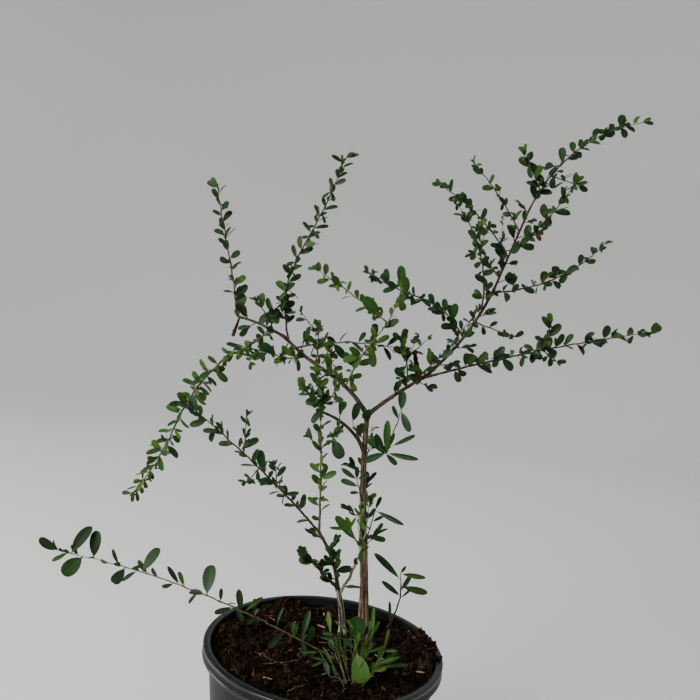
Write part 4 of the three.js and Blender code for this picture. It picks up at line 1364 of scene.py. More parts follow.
@dataclass
class SoilBed:
    """The potting mix: its crumbly top, loose chips, and fibres and fine roots."""

    pot: Pot
    feet: list[tuple[float, float]]
    rings: int = 150
    segments: int = 420
    crumb: float = 2.6 * MM  # half height of the coarse crumbs
    firm: float = 18 * MM  # level soil pressed down round each foot
    fibres: int = 300
    fibre_seed: int = 41
    chip_density: float = 120000.0  # chips to a square metre
    chip_sizes: tuple[float, float] = (1.1 * MM, 9.0 * MM)
    chip_seed: int = 11
    margin: float = 3 * MM
    banks: tuple[tuple[float, float, float, float], ...] = (
        (-53, 95, 8, 11), (-72, 84, 4, 8), (-104, 30, 4, 22), (-98, -30, 3, 20), (103, 8, 4, 22),
        (88, 52, 3, 16), (20, 100, -3, 22), (-20, -80, -2, 26))  # x, y, height, spread
    paler_spots: tuple[tuple[float, float, float], ...] = (
        (-84, 24, 56), (108, 14, 34), (-50, 94, 26), (30, 88, 30))  # x, y, spread
    spill: tuple[float, float] = (-6, 30)  # where crumbs lie on the pot's lip, in degrees

    @property
    def top_radius(self) -> float:
        """The soil's radius at its top."""
        return self.pot.body_radius - self.pot.wall - 2 * GAP

    def swell(self, x: float, y: float) -> float:
        """The coarse shape of the top, which the solid has too."""
        mx, my = x / MM, y / MM
        crumbs = (math.sin(mx * 0.21 + 1.3) * math.sin(my * 0.24 + 0.4)
                  + 0.7 * math.sin(mx * 0.09 - my * 0.13 + 2.1)
                  + 0.5 * math.sin(mx * 0.33 + my * 0.29))
        heap_right = 5 * MM * math.exp(-((mx - 108) ** 2 + (my - 18) ** 2) / 1400)
        heap_back = 6 * MM * math.exp(-((mx + 42) ** 2 + (my - 100) ** 2) / 500)
        near = min(math.hypot(x - fx, y - fy) for fx, fy in self.feet)
        loose = smooth_step(near, self.firm, self.firm + 16 * MM)
        return SOIL_LEVEL + loose * (self.crumb * crumbs / 1.4 - MM + heap_right + heap_back)

    def crumbs(self, x: float, y: float) -> float:
        """How high the crumbs rise at a point, from about 0 in a crevice to 1."""
        place = Vector((x, y, 0.0)) / MM
        place += Vector((noise.noise(place * 0.2), noise.noise(place * 0.2 + UP * 9), 0)) * 2.2
        total = 0.0
        for size, share in ((15.0, 0.45), (6.0, 0.33), (2.6, 0.22)):
            near, far = noise.voronoi(place / size)[0][:2]
            total += share * math.sqrt(min(1.0, 1.7 * (far - near)))
        return total

    def height(self, x: float, y: float) -> float:
        """The top's height with its crumbs."""
        place = Vector((x, y, 0.0)) / MM
        edge = smooth_step(self.top_radius - math.hypot(x, y), 0.0, 8 * MM)
        rough = 11.0 * (self.crumbs(x, y) - 0.62) + 4.0 * noise.noise(place * 0.045)
        bank = sum(up * math.exp(-((place.x - bx) ** 2 + (place.y - by) ** 2) / spread ** 2)
                   for bx, by, up, spread in self.banks)
        return self.swell(x, y) + (rough * (0.35 + 0.65 * edge) + bank) * MM

    def paleness_at(self, x: float, y: float) -> float:
        """How pale the top is at a point, from 0 to 1."""
        place = Vector((x, y, 0.0)) / MM
        total = sum(math.exp(-((place.x - sx) ** 2 + (place.y - sy) ** 2) / spread ** 2)
                    for sx, sy, spread in self.paler_spots)
        return min(1.0, total + 0.25 * max(0.0, noise.noise(place * 0.06)))

    def _mark_top(self, mesh: bpy.types.Mesh) -> None:
        """Writes what the soil's colours read: the crumbs' relief, which the painted shade follows,
        and the paler patches.
        """
        places = [corner.co for corner in mesh.vertices]
        mark(mesh, "relief", "FLOAT", "POINT", [self.crumbs(p.x, p.y) for p in places])
        mark(mesh, "dry", "FLOAT", "POINT", [self.paleness_at(p.x, p.y) for p in places])

    def _top(self) -> bpy.types.Mesh:
        """The closed body of soil, with its top finely modelled."""
        pot = self.pot
        inner = pot.radius_at(pot.heel_height) - pot.wall - 2 * GAP
        low = [(0.0, pot.floor + GAP), (pot.heel_radius - 5.4 * MM, pot.floor + GAP),
               (inner, pot.heel_height + MM),
               *[(pot.radius_at(z) - pot.wall - 2 * GAP, z) for z in (0.06, 0.11, 0.16)],
               (self.top_radius, pot.body_top - 2 * MM),
               (self.top_radius, SOIL_LEVEL - 0.5 * MM)]
        step = (self.top_radius - 0.5 * MM) / self.rings
        top = [(step * i, SOIL_LEVEL) for i in range(self.rings, -1, -1)]
        points, faces = lathe(low + top, self.segments, lambda x, y, z: (
            self.height(x, y) if z >= SOIL_LEVEL else z))
        mesh = new_mesh("soil_body", points, faces)
        self._mark_top(mesh)
        return mesh

    def _strewn(self) -> bpy.types.Object:
        """The loose crumbs, flakes and splinters on top."""
        rings, segments, patches = 40, 120, 8
        reach = self.top_radius - self.margin
        profile = [(reach * i / rings, SOIL_LEVEL) for i in range(rings, -1, -1)]
        points, faces = lathe(profile, segments, lambda x, y, z: self.height(x, y))
        start, end = self.spill
        for i in range(patches):
            low, high = [math.radians(start + (end - start) * k / patches) for k in (i, i + 1)]
            near, far = RIM_RADIUS - 13 * MM, RIM_RADIUS - 2 * MM
            faces.append([len(points) + k for k in range(4)])
            points += [Vector((r * math.cos(a), r * math.sin(a), POT_HEIGHT + 0.4 * MM))
                       for r, a in ((near, low), (far, low), (far, high), (near, high))]
        sheet = new_mesh("loose_chips", points, faces)
        # the chips take the relief too, for painted shade in the crevices
        self._mark_top(sheet)
        chips = new_object("loose_chips", sheet)
        shapes = bpy.data.collections.new("chip_shapes")
        for i, shape in enumerate(CHIP_SHAPES):
            shapes.objects.link(shape.build(f"chip_shape_{i}"))
        smallest, largest = self.chip_sizes
        ScatterTree([finish.material() for finish in CHIP_FINISHES]).run(chips, {
            "Shapes": shapes, "Per square metre": self.chip_density, "Smallest": smallest,
            "Largest": largest, "Seed": self.chip_seed})
        for shape in list(shapes.objects):
            bpy.data.objects.remove(shape)
        bpy.data.collections.remove(shapes)
        return chips

    def _fibre(self, draw: random.Random) -> Strand:
        """One curling fibre or fine root on the top.

        Args:
            draw: Where its chances come from.

        Returns:
            The strand.
        """
        root = draw.random() < 0.04
        away = (self.top_radius - 6 * MM) * math.sqrt(draw.random())
        angle = draw.random() * math.tau
        x, y = away * math.cos(angle), away * math.sin(angle)
        heading = draw.random() * math.tau
        bend = (draw.random() - 0.5) * 0.35
        thickness = (0.26 if root else 0.16) * MM * (0.7 + 0.7 * draw.random())
        steps = draw.randrange(6, 20 if root else 12)
        arch = draw.random() * 2.4 * MM
        points = []
        for i in range(steps):
            lift = arch * math.sin(math.pi * i / (steps - 1))
            points.append(Vector((x, y, self.height(x, y) + 0.5 * MM + lift)))
            x += 1.7 * MM * math.cos(heading)
            y += 1.7 * MM * math.sin(heading)
            heading += bend + (draw.random() - 0.5) * 0.5
            if math.hypot(x, y) > self.top_radius - 3 * MM:
                break
        radii = [thickness * (1.0 - 0.7 * i / len(points)) for i in range(len(points))]
        return Strand(points, radii, Tone.ROOT if root else Tone.COIR)

    def _piece_of_litter(self, kind: Litter, draw: random.Random) -> Strand:
        """One straw, root or chip, laid where chance puts it.

        Args:
            kind: What it is.
            draw: Where its chances come from.

        Returns:
            The strand.
        """
        steps = 8
        length = draw.uniform(*kind.length) * MM
        radius = draw.uniform(*kind.radius) * MM
        lift = draw.uniform(1.4, 2.5) * MM
        away = (self.top_radius - self.margin - length) * math.sqrt(draw.random())
        angle = draw.random() * math.tau
        place = Vector((away * math.cos(angle), away * math.sin(angle), 0.0))
        heading = draw.random() * math.tau
        turn = math.radians(kind.curl) * draw.uniform(-1.0, 1.0) / steps
        points = []
        for _ in range(steps + 1):
            points.append(Vector((place.x, place.y, self.height(place.x, place.y) + lift)))
            place += Vector((math.cos(heading), math.sin(heading), 0.0)) * length / steps
            heading += turn
        mean = sum(p.z for p in points) / len(points)
        for p in points:
            p.z += kind.stiff * (mean - p.z)
        radii = [radius * (0.45 if i in (0, steps) else 1.0) for i in range(steps + 1)]
        return Strand(points, radii, kind.tone)

    def build(self) -> None:
        """Makes the soil, its chips and its fibres."""
        soil = new_object("soil_body", self._top())
        soil.data.materials.append(SOIL_FINISH.material())
        settle(soil, Slot.SOIL, "soil")
        settle(self._strewn(), Slot.SOIL)
        draw = random.Random(self.fibre_seed)
        strands = [self._fibre(draw) for _ in range(self.fibres)]
        strands += [self._piece_of_litter(kind, draw) for kind in LITTER for _ in range(kind.count)]
        fibres = build_strands("coir_fibres", [s for s in strands if len(s.points) > 3], 4)
        settle(fibres, Slot.SOIL)


# ------------------------------------------------------------------ the rule of growth

MASK = 0xFFFFFFFF


def numbers_from(seed: int) -> Iterator[float]:
    """A repeatable stream of numbers from 0 to 1, the same one that shapes the solids."""
    def times(a: int, b: int) -> int:
        """The low 32 bits of a product."""
        return (a * b) & MASK

    state = seed
    while True:
        state = (state + 0x6D2B79F5) & MASK
        mixed = times(state ^ (state >> 15), 1 | state)
        mixed = ((mixed + times(mixed ^ (mixed >> 7), 61 | mixed)) & MASK) ^ mixed
        yield (mixed ^ (mixed >> 14)) / 4294967296


def metres(triple: Triple) -> Vector:
    """A place in the tables as a vector in metres."""
    return Vector(triple) * MM


@dataclass(frozen=True)
class Route:
    """The middle line of a limb, from its root to its tip."""

    root: Vector
    stem: Stem

    def point(self, t: float) -> Vector:
        """The point a share t of the way up."""
        return (self.root + metres(self.stem.reach) * t
                + metres(self.stem.bow) * (4 * t * (1 - t))
                + metres(self.stem.sway) * math.sin(math.tau * t))

    def tangent(self, t: float) -> Vector:
        """The direction there, towards the tip."""
        return (metres(self.stem.reach) + metres(self.stem.bow) * (4 * (1 - 2 * t))
                + metres(self.stem.sway) * (math.tau * math.cos(math.tau * t))).normalized()

    def square_to(self, t: float, angle: float) -> Vector:
        """A direction square to the line, turned by an angle round it."""
        reach = Vector(self.stem.reach)
        sideways = abs(reach.y) < 0.8 * reach.length
        across = Vector((0.0, 1.0, 0.0)) if sideways else Vector((1.0, 0.0, 0.0))
        tangent = self.tangent(t)
        side = tangent.cross(across).normalized()
        side.rotate(Quaternion(tangent, angle))
        return side

    def length(self) -> float:
        """The line's length."""
        points = [self.point(i / 60) for i in range(61)]
        return sum((b - a).length for a, b in zip(points, points[1:]))


FLARE_SPREAD = 3.2  # height over which a root flare fades, in flares


@dataclass(frozen=True)
class Limb:
    """A trunk, bough or shoot as a tapering rod."""

    name: str
    route: Route
    length: float
    base: float
    tip: float
    flare: float = 0.0
    lead: tuple[Vector, ...] = ()

    def thickness(self, t: float) -> float:
        """Its radius a share t of the way up."""
        spread = FLARE_SPREAD * self.flare + 0.01 * MM
        return (self.base + (self.tip - self.base) * t
                + self.flare * math.exp(-t * self.length / spread))


def twig_radii(reach: Triple) -> tuple[float, float]:
    """The radius of a shoot at its root and its tip, from its reach."""
    return (0.72 * MM + 0.0028 * Vector(reach).length * MM, 0.55 * MM)


def grow(name: str, stem: Stem, radii: tuple[float, float], limbs: dict[str, Limb],
         flare: float = 0.0) -> Limb:
    """Grows a limb from the soil or from the limb that carries it.

    Args:
        name: Its name.
        stem: Its course.
        radii: Its radius at the root and the tip.
        limbs: The limbs that stand already.
        flare: How much its foot widens.

    Returns:
        The limb, whose lead runs from inside the carrier to its root.
    """
    if stem.foot:
        root = Vector((stem.foot[0] * MM, stem.foot[1] * MM, SOIL_LEVEL + GAP))
        lead: tuple[Vector, ...] = (root - UP * (6 * MM),)
    else:
        carrier = limbs[stem.on]
        direction = Route(Vector(), stem).tangent(0)
        slope = direction.dot(carrier.route.tangent(stem.at))
        lean = math.sqrt(1 - slope * slope)
        if stem.at == 1:
            away = (GAP + radii[0] * lean) / max(slope, 0.3)
        else:
            away = (GAP + carrier.thickness(stem.at) + radii[0] * abs(slope)) / max(lean, 0.3)
        start = carrier.route.point(stem.at)
        root = start + direction * away
        back = carrier.route.point(max(0.0, stem.at - 5 * MM / carrier.length))
        lead = (back, start.lerp(root, 0.35))
    route = Route(root, stem)
    return Limb(name, route, route.length(), radii[0], radii[1], flare, lead)


# ------------------------------------------------------------------ trunk and boughs

@dataclass(frozen=True)
class Relief:
    """How a bark rises and falls round a limb and along it."""

    sides: int
    step: float
    furrow: float  # depth of the long cracks
    plate: float  # thickness of the flakes
    knots: float  # how far a node swells
    every: float  # stem between two nodes
    lobes: int = 0
    lobe_depth: float = 0.0

    def at(self, angle: float, along: float, seed: float) -> tuple[float, float]:
        """The relief at a point.

        Args:
            angle: Round the limb.
            along: Up the limb, in metres.
            seed: A number that sets this limb's pattern apart.

        Returns:
            The height over the plain rod in metres, and how high that is from 0 to 1.
        """
        c, s = math.cos(angle), math.sin(angle)
        up = along / MM
        crack = noise.noise(Vector((c * 3.0 + seed, s * 3.0, up * 0.017)))
        furrow = 1.0 - smooth_step(abs(crack), 0.0, 0.15)
        flakes = noise.noise(Vector((c * 1.6, s * 1.6 + seed, up * 0.05 + 7)))
        plate = smooth_step(flakes, 0.05, 0.16)
        fine = noise.noise(Vector((c * 6.0, s * 6.0 + seed, up * 0.2)))
        node = (up + seed * 7) % (self.every / MM) - self.every / MM / 2
        side = 0.5 + 0.5 * math.cos(angle - 2.4 * math.floor((up + seed * 7) * MM / self.every))
        knot = math.exp(-node * node / 2.2) * (0.35 + 0.65 * side)
        height = (self.plate * (plate - 0.5) - self.furrow * furrow
                  + 0.25 * self.furrow * fine + self.knots * knot)
        shade = 0.55 + 0.3 * (plate - 0.5) - 0.75 * furrow + 0.25 * fine + 0.25 * knot
        return height, min(1.0, max(0.0, shade))


RELIEFS = {
    Wood.TRUNK: Relief(56, 0.9 * MM, 0.4 * MM, 0.3 * MM, 0.3 * MM, 31 * MM),
    Wood.YOUNG: Relief(26, 0.7 * MM, 0.14 * MM, 0.1 * MM, 0.42 * MM, 11 * MM),
    Wood.DEAD: Relief(18, 0.6 * MM, 0.35 * MM, 0.5 * MM, 0.9 * MM, 6 * MM),
    Wood.GREY: Relief(40, 0.8 * MM, 0.2 * MM, 0.15 * MM, 0.15 * MM, 24 * MM, 3, 0.24),
}


@dataclass
class WoodWork:
    """The trunk, the side stem and the boughs, each a rod with its bark's relief."""

    limbs: dict[str, Limb]
    buttress: float = 0.18
    flutes: int = 5
    collar: float = 0.3  # how much a bough widens where it leaves its carrier
    collar_length: float = 4 * MM
    tip_length: float = 2 * MM
    # the side of each limb that faces this is painted paler, as sunlit
    sun: Vector = field(default_factory=lambda: Vector((-0.9, -0.4, 0.1)).normalized())

    def _rings(self, limb: Limb, step: float) -> list[tuple[Vector, Vector, float, float]]:
        """The middle, direction, radius and distance of each ring of a limb.

        Args:
            limb: The limb.
            step: The distance between two rings.

        Returns:
            The rings from root to tip, the lead first.
        """
        count = max(4, round(limb.length / step))
        line = [limb.route.point(i / count) for i in range(count + 1)]
        middles = [*smooth_line([*limb.lead, line[0]], 5)[:-1], *line]
        first = len(middles) - len(line)
        rings = []
        along = 0.0
        for i, middle in enumerate(middles):
            before, after = middles[max(0, i - 1)], middles[min(len(middles) - 1, i + 1)]
            along += (middle - before).length
            t = max(0.0, (i - first) / count)
            radius = limb.thickness(t)
            if not limb.route.stem.foot:
                radius *= 1 + self.collar * math.exp(-max(0, i - first) * step
                                                     / self.collar_length)
            left = (1 - t) * limb.length
            if left < self.tip_length:
                radius *= math.sqrt(1 - 0.9 * (1 - left / self.tip_length) ** 2)
            rings.append((middle, (after - before).normalized(), radius, along))
        return rings

    def _rod(self, name: str, limb: Limb, relief: Relief, seed: float) -> bpy.types.Mesh:
        """A limb's closed mesh with its relief and the numbers that its bark reads.

        Args:
            name: The mesh's name.
            limb: The limb.
            relief: Its bark.
            seed: What sets its pattern apart.

        Returns:
            The mesh.
        """
        points: list[Vector] = []
        shades: list[float] = []
        facing: list[float] = []
        rings = self._rings(limb, relief.step)
        side = limb.route.square_to(0, 0)
        for middle, ahead, radius, along in rings:
            side = (side - ahead * side.dot(ahead)).normalized()
            for k in range(relief.sides):
                angle = math.tau * k / relief.sides
                out = side.copy()
                out.rotate(Quaternion(ahead, angle))
                height, shade = relief.at(angle, along, seed)
                flute = self.buttress * min(1.0, limb.flare / (3 * MM))
                flute *= max(0.0, 1 - along / limb.length) ** 12
                ribbed = relief.lobe_depth * math.cos(relief.lobes * angle + along / MM * 0.04)
                swollen = radius * (1 + flute * math.cos(self.flutes * angle + 1) + ribbed)
                points.append(middle + out * (swollen + height * min(1.0, radius / (2 * MM))))
                # painted shade: the grooves between the lobes are darkened
                if relief.lobes:
                    shade *= smooth_step(ribbed, -relief.lobe_depth, 0.1 * relief.lobe_depth)
                shades.append(shade)
                # painted light: how far this point faces the sun, which the bark paints paler
                facing.append(0.5 + 0.5 * out.dot(self.sun))
        n = relief.sides
        faces = [[i * n + k, i * n + (k + 1) % n, (i + 1) * n + (k + 1) % n, (i + 1) * n + k]
                 for i in range(len(rings) - 1) for k in range(n)]
        last = (len(rings) - 1) * n
        faces.append(list(range(n - 1, -1, -1)))
        faces.append([last + k for k in range(n)])
        mesh = new_mesh(name, points, faces)
        mark(mesh, "relief", "FLOAT", "POINT", shades)
        mark(mesh, "facing", "FLOAT", "POINT", facing)
        return mesh

    def build(self) -> None:
        """Makes every limb of the table."""
        barks = {wood: finish.material() for wood, finish in BARK_FINISHES.items()}
        slots = {Wood.TRUNK: Slot.TRUNK, Wood.YOUNG: Slot.YOUNG, Wood.DEAD: Slot.DEAD,
                 Wood.GREY: Slot.TRUNK}
        for i, spec in enumerate(LIMBS):
            name = f"{spec.name}_bark"
            mesh = self._rod(name, self.limbs[spec.name], RELIEFS[spec.wood], 3.7 * i)
            mesh.materials.append(barks[spec.wood])
            settle(new_object(name, mesh), slots[spec.wood], spec.name)


def smooth_line(points: Sequence[Vector], steps: int) -> list[Vector]:
    """A smooth curve through two or three points.

    Args:
        points: The ends, with the point between them that pulls the curve.
        steps: Its straight pieces.

    Returns:
        Its points.
    """
    if len(points) == 2:
        return [points[0].lerp(points[1], i / steps) for i in range(steps + 1)]
    first, pull, last = points
    return [first.lerp(pull, i / steps).lerp(pull.lerp(last, i / steps), i / steps)
            for i in range(steps + 1)]


# ------------------------------------------------------------------ leaves

@dataclass(frozen=True)
class LeafForm:
    """The outline and the bend of a leaf, one metre long and to be scaled.

    widest is how far up it is widest, wedge and blunt how its foot and its tip close, fold
    how far its halves rise from the rib, curl how far it bends back, and notch how deep its
    tip is nicked.
    """

    widest: float
    wedge: float
    blunt: float
    fold: float
    curl: float
    notch: float = 0.0

    STATIONS = (0.0, 0.09, 0.2, 0.36, 0.55, 0.72, 0.86, 0.955, 1.0)
    STALK = 0.022  # half width of the leaf's stalk
    SLIM = 0.5  # width of the form, as a share of its length
    THICK = 0.022

    def half_width(self, share: float) -> float:
        """Half the blade's width a share of the way up."""
        bare = 0.07
        v = max(0.0, (share - bare) / (1 - bare))
        if v < self.widest:
            rise = math.sin(math.pi / 2 * v / self.widest) ** self.wedge
        else:
            fall = (v - self.widest) / (1 - self.widest)
            rise = max(0.0, 1 - fall ** 2.4) ** self.blunt
        return max(self.STALK, self.SLIM / 2 * rise)

    def build(self, name: str) -> bpy.types.Object:
        """Makes the form."""
        points: list[Vector] = []
        ends = len(self.STATIONS) - 1
        for i, share in enumerate(self.STATIONS):
            width = self.half_width(share) if i < ends else 0.3 * self.half_width(0.955)
            rib = min(0.024 * (1.1 - share), 0.6 * width)
            bent = self.curl * share
            y = math.sin(bent) / self.curl
            low = -(1 - math.cos(bent)) / self.curl
            nick = self.notch * (1 if i == ends else 0)
            lift = self.fold * width
            thick = self.THICK * (1.0 if i < ends else 0.3)
            points += [
                Vector((-width, y, low + lift)), Vector((-rib, y - nick, low + thick / 2)),
                Vector((rib, y - nick, low + thick / 2)), Vector((width, y, low + lift)),
                Vector((0.0, y - nick, low - thick / 2))]
        faces: list[list[int]] = [[0, 4, 3, 2, 1]]
        parts = [Part.BACK.value]
        strips = ((0, 1, Part.BLADE), (1, 2, Part.RIB), (2, 3, Part.BLADE), (3, 4, Part.BACK),
                  (4, 0, Part.BACK))
        for i in range(ends):
            for a, b, part in strips:
                faces.append([5 * i + a, 5 * i + b, 5 * i + 5 + b, 5 * i + 5 + a])
                parts.append(part.value)
        last = 5 * ends
        faces.append([last, last + 1, last + 2, last + 3, last + 4])
        parts.append(Part.BACK.value)
        mesh = new_mesh(name, points, faces)
        mark(mesh, "part", "INT", "FACE", parts)
        self._finish_edges(mesh)
        return bpy.data.objects.new(name, mesh)

    def _finish_edges(self, mesh: bpy.types.Mesh) -> None:
        """Lays the blade out flat in its own map and keeps its margin sharp."""
        sharp = [{v % 5 for v in edge.vertices} in ({0}, {3}) for edge in mesh.edges]
        mark(mesh, "sharp_edge", "BOOLEAN", "EDGE", sharp)
        layer = mesh.uv_layers.new(name="blade")
        for corner, spot in zip(mesh.loops, layer.data):
            place = mesh.vertices[corner.vertex_index].co
            share = self.STATIONS[corner.vertex_index // 5]
            spot.uv = (0.5 + place.x / self.SLIM, share)


LEAF_FORMS = (
    LeafForm(0.57, 0.7, 0.43, 0.2, 0.3),  # oval
    LeafForm(0.62, 0.78, 0.4, 0.12, 0.45, 0.018),  # notched at its tip
    LeafForm(0.55, 0.66, 0.48, 0.42, 0.25),  # folded
    LeafForm(0.56, 0.8, 0.52, 0.3, 0.45),  # narrow, bent back
    LeafForm(0.52, 0.58, 0.5, 0.1, 0.2),  # round
)
OVALS = (0, 1, 2, 0)
NARROW_FORM = 3
ROUND_FORM = 4
NARROW_BELOW = 0.27  # the width, as a share of the length, under which a leaf is narrow
ROUND_ABOVE = 0.64  # and the one over which it is round


@dataclass(frozen=True)
class Leaf:
    """A leaf in its place: root, direction, upper side, size, form and shade."""

    root: Vector
    along: Vector
    face: Vector
    length: float
    slim: float
    form: int
    tint: Tint
    shade: int

    def turn(self) -> Euler:
        """The turn that puts the form there."""
        across = self.along.cross(self.face)
        return Matrix((across, self.along, self.face)).transposed().to_euler()

    def size(self) -> Vector:
        """The form's scale across, along and through."""
        wide = self.slim / LeafForm.SLIM
        return Vector((wide, 1.0, math.sqrt(wide))) * self.length


class LeafTree(GeometryTree):
    """Sets leaves on points that say which form goes there, its turn, size and shade."""

    def __init__(self, shades: Sequence[LeafFinish]) -> None:
        """Builds the tree for these shades."""
        super().__init__("set_leaves", {"Forms": "NodeSocketCollection",
                                        "Leaf size": "NodeSocketFloat"})
        grown = self.value("ShaderNodeVectorMath", {"operation": "SCALE"},
                           {0: self.named("size", "FLOAT_VECTOR"),
                            "Scale": self.given("Leaf size")})
        turn = self.value("FunctionNodeEulerToRotation",
                          values={0: self.named("turn", "FLOAT_VECTOR")})
        leaves = self.value("GeometryNodeInstanceOnPoints", values={
            "Points": self.given("Geometry"),
            "Instance": self.value("GeometryNodeCollectionInfo", values={
                "Collection": self.given("Forms"), "Separate Children": True}),
            "Pick Instance": True, "Instance Index": self.named("form", "INT"),
            "Rotation": turn, "Scale": grown})
        shade, part = self.named("shade", "INT"), self.named("part", "INT")
        self.finish(leaves, [
            (shade.equals(i) * part.equals(kind.value), material)
            for i, finish in enumerate(shades)
            for kind, material in finish.materials().items()])


@dataclass
class Branch:
    """A leafy shoot: a limb that kinks a little from leaf to leaf."""

    limb: Limb
    habit: HabitRule
    seed: float
    tone: Tone
    kink: float = 0.55 * MM
    step: float = 2.2 * MM

    def middle(self, t: float) -> Vector:
        """The middle of the shoot a share t of the way up."""
        up = t * self.limb.length / MM
        free = min(1.0, up / 12.0)
        wave = Vector((self.seed, up * 0.085, 0.0))
        sway = Vector((noise.noise(wave), noise.noise(wave + Vector((9, 0, 0))),
                       noise.noise(wave + Vector((0, 0, 9)))))
        return self.limb.route.point(t) + sway * (self.kink * 2 * free)

    def radius(self, t: float) -> float:
        """The shoot's radius, with a swelling at each node."""
        up = t * self.limb.length
        every = self.habit.every * MM if self.habit.leafy else 12 * MM
        node = (up / every) % 1.0 - 0.5
        knot = 0.22 * math.exp(-node * node / 0.012)
        return self.limb.thickness(t) * (0.92 + knot)

    def strand(self) -> Strand:
        """The shoot as a strand, from inside what carries it to its tip."""
        count = max(4, round(self.limb.length / self.step))
        points = [*self.limb.lead, *[self.middle(i / count) for i in range(count + 1)]]
        base = self.radius(0) * 1.25
        radii = [base] * len(self.limb.lead)
        for i in range(count + 1):
            t = i / count
            collar = 1 + 0.25 * math.exp(-t * self.limb.length / (3 * MM))
            tip = 1 - 0.45 * smooth_step(t, 0.8, 1.0)
            radii.append(self.radius(t) * collar * tip)
        return Strand(points, radii, self.tone)


TONES = {Tint.MATURE: Tone.BROWN, Tint.FRESH: Tone.OLIVE, Tint.PALE: Tone.GREEN,
         Tint.DRY: Tone.BROWN}


